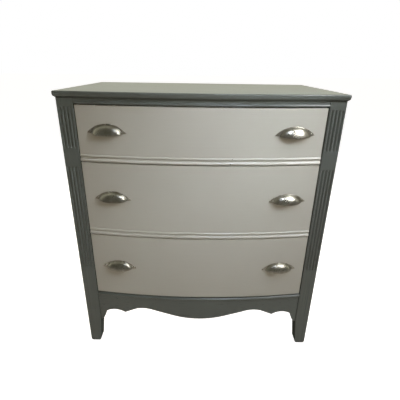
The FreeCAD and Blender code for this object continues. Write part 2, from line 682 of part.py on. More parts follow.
# Drawers
plainSection = [
    ("front_back_radius", "0"), ("face_radius", "0"), ("face_radius", "{front} - front_ease"),
    ("face_radius - front_ease", "{front}"), ("front_back_radius", "{front}")]
lippedSection = [
    ("front_back_radius", "0"), ("face_radius", "0"), ("face_radius", "lip_bead"),
    ("face_radius - groove_sink", "lip_bead"), ("face_radius - groove_sink", "lip_bead + lip_groove"),
    ("face_radius", "lip_bead + lip_groove"), ("face_radius", "lip_height"),
    ("face_radius", "{front} - front_ease"), ("face_radius - front_ease", "{front}"),
    ("front_back_radius", "{front}")]
lippedArcs = {
    1: ("rise", "lip_bead_swell", "left"),
    5: ("rise", "small_bead_swell", "left"),
    7: ("radius", "front_ease", "left")}
plainArcs = {2: ("radius", "front_ease", "left")}
frontSpace = box("front_space", "-half_front", "front_plane - bow - overrun", "0",
                 "2 * half_front", "bow + overrun + post_depth", "total_height")
tail_counts = {"upper": 3, "middle": 5, "lower": 5}
tail_root_share = 0.27
tail_tip_share = 0.36

for level in ("upper", "middle", "lower"):
    foot = level + "_foot"
    front = level + "_front"
    boxFoot = level + "_floor + run_clearance"
    sideHeight = level + "_side"
    bottomFoot = boxFoot + " + bottom_inset"

    section, arcs = (plainSection, plainArcs) if level == "lower" else (lippedSection, lippedArcs)
    bent = bowed(level + "_front_bent", [(r, height.format(front=front)) for r, height in section], arcs)
    bind(bent, ".Placement.Base.z", foot)
    frontBlank = common(level + "_front_blank", bent, frontSpace)

    # the right side, seen from the side: dovetails at its front end
    corners = [("tail_length", "0")]
    count = tail_counts[level]
    for tail in range(count):
        middle = "%d * %s / %d" % (2 * tail + 1, sideHeight, 2 * count)
        for y, share in (("tail_length", -tail_root_share), ("0", -tail_tip_share),
                         ("0", tail_tip_share), ("tail_length", tail_root_share)):
            corners.append((y, "%s + %s * %s / %d" % (middle, share, sideHeight, count)))
    corners += [("tail_length", sideHeight), ("side_length", sideHeight), ("side_length", "0")]
    sideBlank = padded(level + "_side_blank", "YZ_Plane", corners, "side_thickness")
    place(sideBlank, "half_inside", "tail_tip", boxFoot)

    back = box(level + "_drawer_back", "-(half_inside + dado_depth)", "drawer_rear - 2 * back_board",
               bottomFoot + " + bottom_thickness", "2 * (half_inside + dado_depth)", "back_board",
               sideHeight + " - bottom_inset - bottom_thickness - back_drop")
    pieces[level + "_drawer_back"] = back

    # the bottom follows the bow into the front's groove
    bottomRadius = "(front_back_radius + groove_depth - fit_clearance)"
    bottomHalf = "(half_inside + groove_depth - fit_clearance)"
    bottomFront = "bow_axis - sqrt(%s ^ 2 - %s ^ 2)" % (bottomRadius, bottomHalf)
    grooveFront = "bow_axis - sqrt(%s ^ 2 - half_inside ^ 2)" % bottomRadius
    bottom = padded(level + "_drawer_bottom", "XY_Plane", [
        ("-" + bottomHalf, bottomFront), (bottomHalf, bottomFront),
        (bottomHalf, "drawer_rear - back_board"), ("-" + bottomHalf, "drawer_rear - back_board")],
        "bottom_thickness", {0: ("radius", bottomRadius, "right")})
    place(bottom, z=bottomFoot)
    pieces[level + "_drawer_bottom"] = bottom
    sideGroove = box(level + "_side_groove", "half_inside - overrun", grooveFront,
                     bottomFoot + " - fit_clearance", "groove_depth + overrun", "total_depth",
                     "bottom_thickness + 2 * fit_clearance")
    frontGroove = bowed(level + "_front_groove", [
        ("front_back_radius - overrun", "0"), ("front_back_radius + groove_depth", "0"),
        ("front_back_radius + groove_depth", "bottom_thickness + 2 * fit_clearance"),
        ("front_back_radius - overrun", "bottom_thickness + 2 * fit_clearance")])
    bind(frontGroove, ".Placement.Base.z", bottomFoot + " - fit_clearance")
    grooveSpace = box(level + "_groove_space", "-(half_inside + groove_depth)", "bow_front - overrun", "0",
                      "2 * (half_inside + groove_depth)", "total_depth", "total_height")

    sideRight = cut(level + "_drawer_side_right", sideBlank, sideGroove, back)
    pieces[level + "_drawer_side_right"] = sideRight
    pieces[level + "_drawer_side_left"] = mirror(level + "_drawer_side_left", sideRight)

    pairs = []
    pullFace = "bow_axis - sqrt(face_radius ^ 2 - pull_place ^ 2)"
    for side, sign in (("right", ""), ("left", "-")):
        spot = (sign + "pull_place", pullFace, level + "_pull_line", sign + "asin(pull_place / face_radius)")
        name = "%s_pull_%s" % (level, side)
        pieces[name] = place(cut(name, pullBlank, screwPair), *spot)
        pairs.append(place(group("%s_pull_screws_%s" % (level, side), pairLinks), *spot))
    pieces[level + "_pull_screws"] = group(level + "_pull_screws", pairs)

    frontGroovePart = common(level + "_front_groove_part", frontGroove, grooveSpace)
    pieces[level + "_drawer_front"] = cut(
        level + "_drawer_front", frontBlank, sideBlank, mirror(level + "_side_blank_left", sideBlank),
        frontGroovePart, pieces[level + "_pull_screws"])

doc.recompute()

# Every object has to be sound before anything is written
faults = []
for item in doc.Objects:
    if "Invalid" in item.State or "Error" in item.State:
        faults.append("%s is %s" % (item.Name, item.State))
for name, piece in pieces.items():
    if piece.Shape.isNull() or not piece.Shape.isValid():
        faults.append("%s has no sound shape" % name)
if faults:
    raise SystemExit("\n".join(faults))

for name, piece in pieces.items():
    piece.Label = name
    piece.Shape.exportStep("parts/%s.step" % name)
print(len(pieces), "pieces written")
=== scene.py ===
# Bow-front dresser in two satin paints, with nickel cup pulls, on a white studio floor
import bmesh
import bpy
import json
import math
from mathutils import Matrix, Vector


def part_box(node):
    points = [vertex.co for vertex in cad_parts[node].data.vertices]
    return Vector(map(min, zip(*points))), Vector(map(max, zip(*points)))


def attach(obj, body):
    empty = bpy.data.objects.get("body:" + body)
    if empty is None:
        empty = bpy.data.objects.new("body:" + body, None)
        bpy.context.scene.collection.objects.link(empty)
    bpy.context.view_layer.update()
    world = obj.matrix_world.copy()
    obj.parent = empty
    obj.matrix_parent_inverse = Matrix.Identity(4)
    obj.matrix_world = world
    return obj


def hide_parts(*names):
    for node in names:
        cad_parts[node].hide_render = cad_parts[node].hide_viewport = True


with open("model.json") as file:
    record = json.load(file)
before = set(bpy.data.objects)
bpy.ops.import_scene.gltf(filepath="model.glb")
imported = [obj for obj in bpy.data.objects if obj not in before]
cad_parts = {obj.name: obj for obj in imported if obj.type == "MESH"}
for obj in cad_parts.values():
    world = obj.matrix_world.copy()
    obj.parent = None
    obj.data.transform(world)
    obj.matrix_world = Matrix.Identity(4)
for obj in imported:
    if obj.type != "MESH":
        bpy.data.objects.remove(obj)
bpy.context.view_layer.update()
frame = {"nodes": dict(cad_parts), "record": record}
nodes = frame["nodes"]
record = frame["record"]
bodyOf = {node: body for body, members in record["behaviour"]["bodies"].items() for node in members}
levels = ("upper", "middle", "lower")
sides = {"left": -1, "right": 1}
mm = 0.001  # the object's settings are in millimetres, the scene is in metres
weld = 0.001 * mm  # points of a CAD mesh that lie this near are one
scene = bpy.context.scene
print("frame loaded:", len(nodes), "nodes")


def circleThrough(half, rise):
    # radius of the arc with this half chord and rise
    return (half ** 2 + rise ** 2) / (2 * rise)


def quarterTurn(steps):
    return [math.pi / 2 * i / steps for i in range(steps + 1)]


# The bow: every curved board follows one circle about an upright axis far behind the case
bow = {"rise": 26, "halfChord": 333}
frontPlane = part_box("front_post_left")[0].y
bowRadius = circleThrough(bow["halfChord"], bow["rise"]) * mm
bowAxis = frontPlane - bow["rise"] * mm + bowRadius
bowLine = bowAxis - bowRadius  # its front, at the middle of the case
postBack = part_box("front_post_left")[1].y


# Nodes, trees and meshes
def addNode(tree, kind, feeds=None, **settings):
    # feeds: an input's name or number, and its value, an output, or a node for its first output
    node = tree.nodes.new(kind)
    for setting, choice in settings.items():
        setattr(node, setting, choice)
    for key, feed in (feeds or {}).items():
        if isinstance(feed, bpy.types.Node):
            feed = feed.outputs[0]
        if isinstance(feed, bpy.types.NodeSocket):
            tree.links.new(feed, node.inputs[key])
        else:
            node.inputs[key].default_value = feed
    return node


def newTree(name, inputs):
    tree = bpy.data.node_groups.new(name, "GeometryNodeTree")
    tree.interface.new_socket("Geometry", in_out="INPUT", socket_type="NodeSocketGeometry")
    for title, kind in inputs.items():
        tree.interface.new_socket(title, in_out="INPUT", socket_type="NodeSocket" + kind)
    tree.interface.new_socket("Geometry", in_out="OUTPUT", socket_type="NodeSocketGeometry")
    return tree, addNode(tree, "NodeGroupInput")


def addTree(piece, tree, inputs):
    modifier = piece.modifiers.new(tree.name, "NODES")
    modifier.node_group = tree
    for socket in tree.interface.items_tree:
        if socket.name in inputs:
            modifier[socket.identifier] = inputs[socket.name]


def newPiece(name, points, edges=(), faces=()):
    mesh = bpy.data.meshes.new(name)
    mesh.from_pydata(points, edges, faces)
    piece = bpy.data.objects.new(name, mesh)
    scene.collection.objects.link(piece)
    return piece


def applyAll(piece):
    # the evaluated shape becomes the piece's own plain mesh
    graph = bpy.context.evaluated_depsgraph_get()
    mesh = bpy.data.meshes.new_from_object(piece.evaluated_get(graph))
    piece.modifiers.clear()
    piece.data = mesh


def coat(piece, *finishes):
    piece.data.materials.clear()
    for finish in finishes:
        piece.data.materials.append(finish)


def ringFaces(count, rings):
    # a closed skin over rings of points, capped at both ends
    faces = [list(range(count)), [count * rings - 1 - i for i in range(count)]]
    for row in range(rings - 1):
        for i in range(count):
            a, b = row * count + i, row * count + (i + 1) % count
            faces.append([a, b, b + count, a + count])
    return faces


def blockBetween(low, high):
    corners = [(x, y, z) for x in (low[0], high[0]) for y in (low[1], high[1]) for z in (low[2], high[2])]
    return newPiece("block", corners, faces=[
        [0, 1, 3, 2], [4, 6, 7, 5], [0, 4, 5, 1], [2, 3, 7, 6], [0, 2, 6, 4], [1, 5, 7, 3]])


def closeMesh(piece, merge=0.01):
    # doubles merged, faces turned outwards
    work = bmesh.new()
    work.from_mesh(piece.data)
    bmesh.ops.remove_doubles(work, verts=work.verts, dist=merge * mm)
    bmesh.ops.recalc_face_normals(work, faces=work.faces)
    work.to_mesh(piece.data)
    work.free()


def shade(piece, crease=50):
    # smooth over the eased edges, with the broad faces kept flat
    piece.data.shade_smooth()
    piece.data.set_sharp_from_angle(angle=math.radians(crease))
    weighted = piece.modifiers.new("weighted normals", "WEIGHTED_NORMAL")
    weighted.keep_sharp = True
    applyAll(piece)


def easeEdges(piece, width, angle=35, segments=2, weights=False):
    # edges sharper than this angle, or those with a weight
    bevel = piece.modifiers.new("eased edges", "BEVEL")
    bevel.width = width * mm
    bevel.segments = segments
    bevel.limit_method = "WEIGHT" if weights else "ANGLE"
    bevel.angle_limit = math.radians(angle)
    bevel.use_clamp_overlap = weights
    applyAll(piece)


def mergedCopy(name, copyName):
    # a CAD node's loose triangles as one closed mesh of flat faces
    piece = bpy.data.objects.new(copyName, nodes[name].data.copy())
    scene.collection.objects.link(piece)
    work = bmesh.new()
    work.from_mesh(piece.data)
    bmesh.ops.remove_doubles(work, verts=work.verts, dist=weld)
    bmesh.ops.dissolve_limit(work, angle_limit=math.radians(0.5), verts=work.verts, edges=work.edges)
    work.to_mesh(piece.data)
    work.free()
    return piece


def standFor(piece, *members):
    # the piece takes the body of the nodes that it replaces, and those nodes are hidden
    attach(piece, bodyOf[members[0]])
    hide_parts(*members)


def arc(start, end, rise, steps):
    # points after start, up to end, on an arc that bulges by rise to the left of the way there
    (ax, ay), (bx, by) = start, end
    half = math.dist(start, end) / 2
    if abs(rise) < 1e-9:
        return [end]
    radius = circleThrough(half, rise)
    ux, uy = (bx - ax) / (2 * half), (by - ay) / (2 * half)
    centreX = (ax + bx) / 2 + uy * (radius - rise)
    centreY = (ay + by) / 2 - ux * (radius - rise)
    turn = 2 * math.asin(half / radius) if abs(rise) <= half else 2 * math.pi - 2 * math.asin(half / radius)
    points = []
    for step in range(1, steps + 1):
        angle = -turn * step / steps
        dx, dy = ax - centreX, ay - centreY
        points.append((centreX + dx * math.cos(angle) - dy * math.sin(angle),
                       centreY + dx * math.sin(angle) + dy * math.cos(angle)))
    return points


def bead(face, foot, height, swell, steps, crown=0.37):
    # points up a bead from its foot: full low down, where the paint has run, and sloping back above
    lean = math.log(0.5) / math.log(crown)
    return [(face - swell * math.sin(math.pi * (i / steps) ** lean), foot + height * i / steps)
            for i in range(1, steps + 1)]


# Materials
def colour(hexText):
    # an sRGB hex colour as the linear values that a socket takes
    parts = [int(hexText[i:i + 2], 16) / 255 for i in (1, 3, 5)]
    return (*[p / 12.92 if p <= 0.04045 else ((p + 0.055) / 1.055) ** 2.4 for p in parts], 1)


def newMaterial(name):
    material = bpy.data.materials.new(name)
    material.use_nodes = True
    tree = material.node_tree
    tree.nodes.clear()
    where = addNode(tree, "ShaderNodeTexCoord").outputs["Object"]
    return material, tree, where


def finishMaterial(tree, base, roughness, bump, **sockets):
    shader = addNode(tree, "ShaderNodeBsdfPrincipled", {
        "Base Color": base, "Roughness": roughness, "Normal": bump})
    for socket, amount in sockets.items():
        shader.inputs[socket.replace("_", " ")].default_value = amount
    addNode(tree, "ShaderNodeOutputMaterial", {"Surface": shader})


def streaks(tree, where, axis, length, width, **noise):
    # noise drawn out along one axis, its streaks as long and as wide as given in millimetres
    scale = [1 / ((length if letter == axis else width) * mm) for letter in "xyz"]
    drawnOut = addNode(tree, "ShaderNodeMapping", {"Vector": where, "Scale": scale})
    return addNode(tree, "ShaderNodeTexNoise", {"Vector": drawnOut, "Scale": 1, **noise})


def twoTones(tree, pattern, span, dark, light):
    # the colour goes from dark to light over this span of the pattern
    ramp = addNode(tree, "ShaderNodeMapRange", {"Value": pattern, "From Min": span[0], "From Max": span[1]})
    return addNode(tree, "ShaderNodeMix", {"Factor": ramp, "A": colour(dark), "B": colour(light)},
                   data_type="RGBA").outputs[2]


# Satin furniture paint, brushed on along the board. It gives the eye a soft sheen, faint bristle
# marks that follow the board, and slow changes of tone where the coats are thicker.
# Real bristle marks lie about 0.5 mm apart; they are drawn at about 2 mm so that they show.
paint = {
    "caseColour": "#585f5c", "caseDeep": "#4e5451", "frontColour": "#acaea8", "frontDeep": "#a8a9a3",
    "roughness": (0.27, 0.34), "frontRoughness": (0.29, 0.32), "roughnessSpan": (0.3, 0.7),
    "gloss": 0.45, "thinGloss": 0.0,
    "markSpacing": 2.0, "markLength": 220, "markShare": 0.3, "toneSize": 260, "toneSpan": (0.35, 0.65),
    "markDepth": 0.018, "frontMarkDepth": 0.004,  # the fronts are rubbed down smoother
    "peelSize": 3.5, "peelDepth": 0.02, "relief": 0.5,
    # chips in the beads, each as its place across, its height and its radius; their soft edge is in
    # shares of the radius
    "chips": [(85, 672, 1.5), (80, 658.5, 2.2)], "chipEdge": (1.1, 1.5), "chipColour": "#43443f",
    "chipDepth": 0.25,
}


def paintChips(tree, where, ragged):
    # how far into a chip a point is: 1 at its middle, 0 outside
    inner, outer = paint["chipEdge"]
    flat = addNode(tree, "ShaderNodeVectorMath", {0: where, 1: (1, 0, 1)}, operation="MULTIPLY")
    total = None
    for across, height, radius in paint["chips"]:
        away = addNode(tree, "ShaderNodeVectorMath", {0: flat, 1: (across * mm, 0, height * mm)},
                       operation="DISTANCE")
        uneven = addNode(tree, "ShaderNodeMath", {0: ragged, 1: radius * mm, 2: away.outputs["Value"]},
                         operation="MULTIPLY_ADD")
        inside = addNode(tree, "ShaderNodeMapRange", {
            "Value": uneven, "From Min": inner * radius * mm, "From Max": outer * radius * mm,
            "To Min": 1.0, "To Max": 0.0})
        if total:
            inside = addNode(tree, "ShaderNodeMath", {0: total, 1: inside}, operation="MAXIMUM")
        total = inside
    return total


def satinPaint(name, light, deep, axis, front=False, gloss=paint["gloss"]):
    material, tree, where = newMaterial(name)
    low, high = paint["frontRoughness" if front else "roughness"]
    markDepth = paint["frontMarkDepth" if front else "markDepth"]
    marks = streaks(tree, where, axis, paint["markLength"], paint["markSpacing"], Detail=3)
    tone = addNode(tree, "ShaderNodeTexNoise", {
        "Vector": where, "Scale": 1 / (paint["toneSize"] * mm), "Detail": 2, "Roughness": 0.6})
    peel = addNode(tree, "ShaderNodeTexNoise", {
        "Vector": where, "Scale": 1 / (paint["peelSize"] * mm), "Detail": 1})
    mottle = addNode(tree, "ShaderNodeMix", {0: paint["markShare"], "A": tone, "B": marks},
                     data_type="FLOAT")
    base = twoTones(tree, mottle, paint["toneSpan"], deep, light)
    start, end = paint["roughnessSpan"]
    sheen = addNode(tree, "ShaderNodeMapRange", {
        "Value": marks, "From Min": start, "From Max": end, "To Min": low, "To Max": high})
    grooves = addNode(tree, "ShaderNodeBump", {
        "Height": marks, "Strength": paint["relief"], "Distance": markDepth * mm})
    skin = addNode(tree, "ShaderNodeBump", {
        "Height": peel, "Strength": paint["relief"], "Distance": paint["peelDepth"] * mm,
        "Normal": grooves})
    if front:
        chips = paintChips(tree, where, peel)
        base = addNode(tree, "ShaderNodeMix", {
            "Factor": chips, "A": base, "B": colour(paint["chipColour"])}, data_type="RGBA").outputs[2]
        skin = addNode(tree, "ShaderNodeBump", {
            "Height": chips, "Strength": 1.0, "Distance": paint["chipDepth"] * mm, "Normal": skin},
            invert=True)
    finishMaterial(tree, base, sheen, skin, Specular_IOR_Level=gloss)
    return material


# Planed hardwood, left bare inside: long straight grain with darker pores along the board
wood = {
    "light": "#cfae82", "dark": "#a5805a", "toneSpan": (0.36, 0.62), "ringLength": 640, "ringWidth": 9,
    "poreLength": 160, "poreWidth": 1.2, "poreShare": 0.45, "poreDepth": 0.08, "relief": 0.6,
    "roughness": 0.62,
}


def planedWood(name, axis):
    material, tree, where = newMaterial(name)
    rings = streaks(tree, where, axis, wood["ringLength"], wood["ringWidth"], Detail=3, Distortion=0.6)
    pores = streaks(tree, where, axis, wood["poreLength"], wood["poreWidth"], Detail=2)
    grain = addNode(tree, "ShaderNodeMix", {0: wood["poreShare"], "A": rings, "B": pores},
                    data_type="FLOAT")
    base = twoTones(tree, grain, wood["toneSpan"], wood["dark"], wood["light"])
    bump = addNode(tree, "ShaderNodeBump", {
        "Height": pores, "Strength": wood["relief"], "Distance": wood["poreDepth"] * mm})
    finishMaterial(tree, base, wood["roughness"], bump)
    return material


# Hardboard, pressed from wood fibre: a brown felt of short fibres with darker flecks
board = {"light": "#8b6a49", "dark": "#75583c", "toneSpan": (0.3, 0.6), "fibreSize": 3, "fibreDepth": 0.1,
         "relief": 0.4, "fleckSize": 9, "fleckShare": 0.25, "roughness": 0.7}


def hardboard(name):
    material, tree, where = newMaterial(name)
    fibres = addNode(tree, "ShaderNodeTexNoise", {
        "Vector": where, "Scale": 1 / (board["fibreSize"] * mm), "Detail": 5, "Roughness": 0.7,
        "Distortion": 1.5})
    flecks = addNode(tree, "ShaderNodeTexVoronoi", {
        "Vector": where, "Scale": 1 / (board["fleckSize"] * mm)}, feature="F1")
    felt = addNode(tree, "ShaderNodeMix", {
        0: board["fleckShare"], "A": fibres, "B": flecks.outputs["Distance"]}, data_type="FLOAT")
    base = twoTones(tree, felt, board["toneSpan"], board["dark"], board["light"])
    bump = addNode(tree, "ShaderNodeBump", {
        "Height": fibres, "Strength": board["relief"], "Distance": board["fibreDepth"] * mm})
    finishMaterial(tree, base, board["roughness"], bump)
    return material


# Satin nickel plate on cast pulls, some years old: a blurred mirror, warmer and duller in patches
nickel = {"bright": "#9c998f", "dull": "#79756a", "toneSpan": (0.3, 0.6), "roughness": (0.24, 0.36),
          "roughnessSpan": (0.3, 0.7), "patchSize": 24, "brushWidth": 0.5, "brushLength": 12,
          "brushDepth": 0.008, "relief": 0.4}


def satinNickel(name):
    material, tree, where = newMaterial(name)
    low, high = nickel["roughness"]
    patches = addNode(tree, "ShaderNodeTexNoise", {
        "Vector": where, "Scale": 1 / (nickel["patchSize"] * mm), "Detail": 4})
    brushing = streaks(tree, where, "x", nickel["brushLength"], nickel["brushWidth"], Detail=2)
    base = twoTones(tree, patches, nickel["toneSpan"], nickel["dull"], nickel["bright"])
    start, end = nickel["roughnessSpan"]
    rough = addNode(tree, "ShaderNodeMapRange", {
        "Value": patches, "From Min": start, "From Max": end, "To Min": high, "To Max": low})
    bump = addNode(tree, "ShaderNodeBump", {
        "Height": brushing, "Strength": nickel["relief"], "Distance": nickel["brushDepth"] * mm})
    finishMaterial(tree, base, rough, bump, Metallic=1)
    return material


# Bright wire steel of nails and screws, a little grey with age
steel = {"light": "#a3a09a", "dark": "#6e6b66", "spotSize": 1.5, "spotDepth": 0.02, "relief": 0.3,
         "roughness": 0.42}


def plainSteel(name):
    material, tree, where = newMaterial(name)
    spots = addNode(tree, "ShaderNodeTexNoise", {
        "Vector": where, "Scale": 1 / (steel["spotSize"] * mm), "Detail": 3})
    bump = addNode(tree, "ShaderNodeBump", {
        "Height": spots, "Strength": steel["relief"], "Distance": steel["spotDepth"] * mm})
    base = twoTones(tree, spots, (0, 1), steel["dark"], steel["light"])
    finishMaterial(tree, base, steel["roughness"], bump, Metallic=1)
    return material


caseTones = (paint["caseColour"], paint["caseDeep"])
caseLevel = satinPaint("satin paint, case, brushed level", *caseTones, "x")
caseUpright = satinPaint("satin paint, case, brushed upright", *caseTones, "z")
caseInside = satinPaint("thin coat, inner sides of the posts", *caseTones, "z", gloss=paint["thinGloss"])
frontPaint = satinPaint("satin paint, drawer fronts", paint["frontColour"], paint["frontDeep"], "x",
                        front=True)
woodAcross = planedWood("planed wood, grain across", "x")
woodDeep = planedWood("planed wood, grain front to back", "y")
woodUpright = planedWood("planed wood, grain upright", "z")
backing = hardboard("hardboard")
pullMetal = satinNickel("satin nickel")
screwMetal = satinNickel("nickel screws")
wireSteel = plainSteel("plain steel")
print("materials made:", len(bpy.data.materials))


# Bowed boards. A tree sweeps a moulding's section along the case, or takes a board as it is, and bends
# it round the bow. Sections and boards are drawn where they stand at the middle of the bow.
def makeBowTree():
    tree, given = newTree("bowed board", {
        "Sweep Section": "Bool", "Half Length": "Float", "Steps": "Int", "Bow Axis": "Float",
        "Straight Back": "Float", "Finish": "Material"})
    take = given.outputs
    place = addNode(tree, "ShaderNodeSeparateXYZ", {0: addNode(tree, "GeometryNodeInputPosition")})
    x, y, z = place.outputs
    back = addNode(tree, "ShaderNodeMath", {0: take["Half Length"], 1: -1}, operation="MULTIPLY")
    start = addNode(tree, "ShaderNodeCombineXYZ", {"X": back})
    end = addNode(tree, "ShaderNodeCombineXYZ", {"X": take["Half Length"]})
    line = addNode(tree, "GeometryNodeCurvePrimitiveLine", {"Start": start, "End": end})
    path = addNode(tree, "GeometryNodeResampleCurve", {"Curve": line, "Count": take["Steps"]})
    upright = addNode(tree, "GeometryNodeSetCurveNormal", {"Curve": path})
    section = addNode(tree, "GeometryNodeMeshToCurve", {"Mesh": take["Geometry"]})
    swept = addNode(tree, "GeometryNodeCurveToMesh", {
        "Curve": upright, "Profile Curve": section, "Fill Caps": True})
    blank = addNode(tree, "GeometryNodeSwitch", {
        "Switch": take["Sweep Section"], "False": take["Geometry"], "True": swept},
        input_type="GEOMETRY")
    # each point moves back to the circle about the bow's axis that passes through its depth
    radius = addNode(tree, "ShaderNodeMath", {0: take["Bow Axis"], 1: y}, operation="SUBTRACT")
    square = addNode(tree, "ShaderNodeMath", {0: radius, 1: 2.0}, operation="POWER")
    aside = addNode(tree, "ShaderNodeMath", {0: x, 1: x}, operation="MULTIPLY")
    rest = addNode(tree, "ShaderNodeMath", {0: square, 1: aside}, operation="SUBTRACT")
    root = addNode(tree, "ShaderNodeMath", {0: rest}, operation="SQRT")
    bent = addNode(tree, "ShaderNodeMath", {0: take["Bow Axis"], 1: root}, operation="SUBTRACT")
    behind = addNode(tree, "FunctionNodeCompare", {"A": y, "B": take["Straight Back"]},
                     operation="GREATER_EQUAL")
    depth = addNode(tree, "GeometryNodeSwitch", {"Switch": behind, "False": bent, "True": y},
                    input_type="FLOAT")
    target = addNode(tree, "ShaderNodeCombineXYZ", {"X": x, "Y": depth, "Z": z})
    moved = addNode(tree, "GeometryNodeSetPosition", {"Geometry": blank, "Position": target})
    real = addNode(tree, "GeometryNodeRealizeInstances", {"Geometry": moved})
    done = addNode(tree, "GeometryNodeSetMaterial", {"Geometry": real, "Material": take["Finish"]})
    addNode(tree, "NodeGroupOutput", {"Geometry": done})
    return tree


bowTree = makeBowTree()
boards = {"stepLength": 6, "edge": 0.5, "unbent": 1000}  # no board reaches as far back as unbent


def bowedBoard(name, section, half, finish, straightBack=boards["unbent"] * mm, edge=boards["edge"]):
    # section: the closed outline as depth and height at the middle of the bow; points as far back as
    # straightBack stay where they are
    points = [(-y, -z, 0) for y, z in section]  # Curve to Mesh turns x to -Y and y to -Z on this path
    loop = [(i, (i + 1) % len(points)) for i in range(len(points))]
    piece = newPiece(name, points, edges=loop)
    addTree(piece, bowTree, {
        "Sweep Section": True, "Half Length": half, "Steps": round(2 * half / (boards["stepLength"] * mm)),
        "Bow Axis": bowAxis, "Straight Back": straightBack, "Finish": finish})
    applyAll(piece)
    closeMesh(piece)
    easeEdges(piece, edge)
    return piece


def cutAway(piece, *cutters):
    # the cutters are used up
    for cutter in cutters:
        boolean = piece.modifiers.new("cut " + cutter.name, "BOOLEAN")
        boolean.operation = "DIFFERENCE"
        boolean.solver = "EXACT"
        boolean.object = cutter
    applyAll(piece)
    for cutter in cutters:
        bpy.data.objects.remove(cutter)


# Rails and dividers between the posts
rail = {
    "faceSet": 1.5, "bead": 8, "beadSwell": 3.5, "bottomBead": 8, "bottomSwell": 4.5, "beadDrop": 3,
    "beadSteps": 12, "apronSet": 3, "apronThickness": 20,
}


def railPiece(node, section):
    piece = bowedBoard(node + "_painted", section, bow["halfChord"] * mm, caseLevel, straightBack=postBack)
    shade(piece)
    standFor(piece, node)


def makeRails():
    low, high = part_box("top_rail")
    front = bowLine + rail["faceSet"] * mm
    section = [(postBack, low.z), (front, low.z)]
    section += bead(front, low.z, rail["bead"] * mm, rail["beadSwell"] * mm, rail["beadSteps"])
    section += [(front, high.z), (postBack, high.z)]
    railPiece("top_rail", section)

    low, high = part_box("bottom_rail")
    front = bowLine + rail["apronSet"] * mm
    behindApron = front + rail["apronThickness"] * mm
    behindBead = front + rail["beadDrop"] * mm
    beadTop = high.z - rail["beadDrop"] * mm
    beadFoot = beadTop - rail["bottomBead"] * mm
    section = [(postBack, low.z), (behindApron, low.z), (behindApron, beadFoot), (front, beadFoot)]
    section += bead(front, beadFoot, rail["bottomBead"] * mm, rail["bottomSwell"] * mm, rail["beadSteps"])
    section += [(behindBead, beadTop), (behindBead, high.z), (postBack, high.z)]
    railPiece("bottom_rail", section)

    for node in ("upper_divider", "lower_divider"):
        low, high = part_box(node)
        railPiece(node, [(postBack, low.z), (low.y, low.z), (low.y, high.z), (postBack, high.z)])


makeRails()
print("rails bent")

# Drawer fronts: a plain board with a lip of two beads under the upper two
drawerFront = {
    "recess": 1.5, "thickness": 20, "topEase": 1.5, "lipBead": 9.5, "lipBeadSwell": 3.5, "groove": 4.5,
    "grooveSink": 1, "smallBead": 6, "smallBeadSwell": 2.5, "beadSteps": 14, "easeSteps": 4, "edge": 0.35,
}


def frontSection(low, high, lipped):
    use = drawerFront
    face = bowLine + use["recess"] * mm
    back = face + use["thickness"] * mm
    steps = use["beadSteps"]
    section = [(back, low.z), (face, low.z)]
    if lipped:
        beadTop = low.z + use["lipBead"] * mm
        grooveTop = beadTop + use["groove"] * mm
        sunk = face + use["grooveSink"] * mm
        section += bead(face, low.z, use["lipBead"] * mm, use["lipBeadSwell"] * mm, steps)
        section += [(sunk, beadTop), (sunk, grooveTop), (face, grooveTop)]
        section += bead(face, grooveTop, use["smallBead"] * mm, use["smallBeadSwell"] * mm, steps)
    ease = use["topEase"] * mm
    start, end = (face, high.z - ease), (face + ease, high.z)
    section.append(start)
    section += arc(start, end, ease * (1 - math.sqrt(0.5)), use["easeSteps"])
    section.append((back, high.z))
    return section


def makeFront(level):
    node = level + "_drawer_front"
    low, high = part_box(node)
    piece = bowedBoard(node + "_painted", frontSection(low, high, level != "lower"), high.x, frontPaint,
                       edge=drawerFront["edge"])
    cutAway(piece, *(mergedCopy("%s_drawer_%s" % (level, part), "cutter_" + part)
                     for part in ("side_left", "side_right", "bottom")))
    closeMesh(piece)
    coat(piece, frontPaint, woodAcross)
    for face in piece.data.polygons:  # the back of the front is bare wood
        face.material_index = 1 if face.normal.y > 0.5 else 0
    shade(piece)
    standFor(piece, node)


for level in levels:
    makeFront(level)
print("drawer fronts bent and cut for their sides")

# Apron: a board with a scalloped lower edge, bent like the rails
apron = {
    "bevel": 0.8, "stripWidth": 8, "arcSteps": 16,
    # half of the lower edge, middle to bracket: shares of the half opening and of the apron's height, and
    # how far the stretch that follows each point bulges upwards, as a share of that height
    "scallop": [(0.26, 0.613, 0), (0.448, 0.453, 0.044), (0.621, 0.448, 0), (0.738, 0.623, 0.097),
                (0.937, 0.66, -0.033), (0.988, 1, 0)],
    "middleRise": -0.114,
}


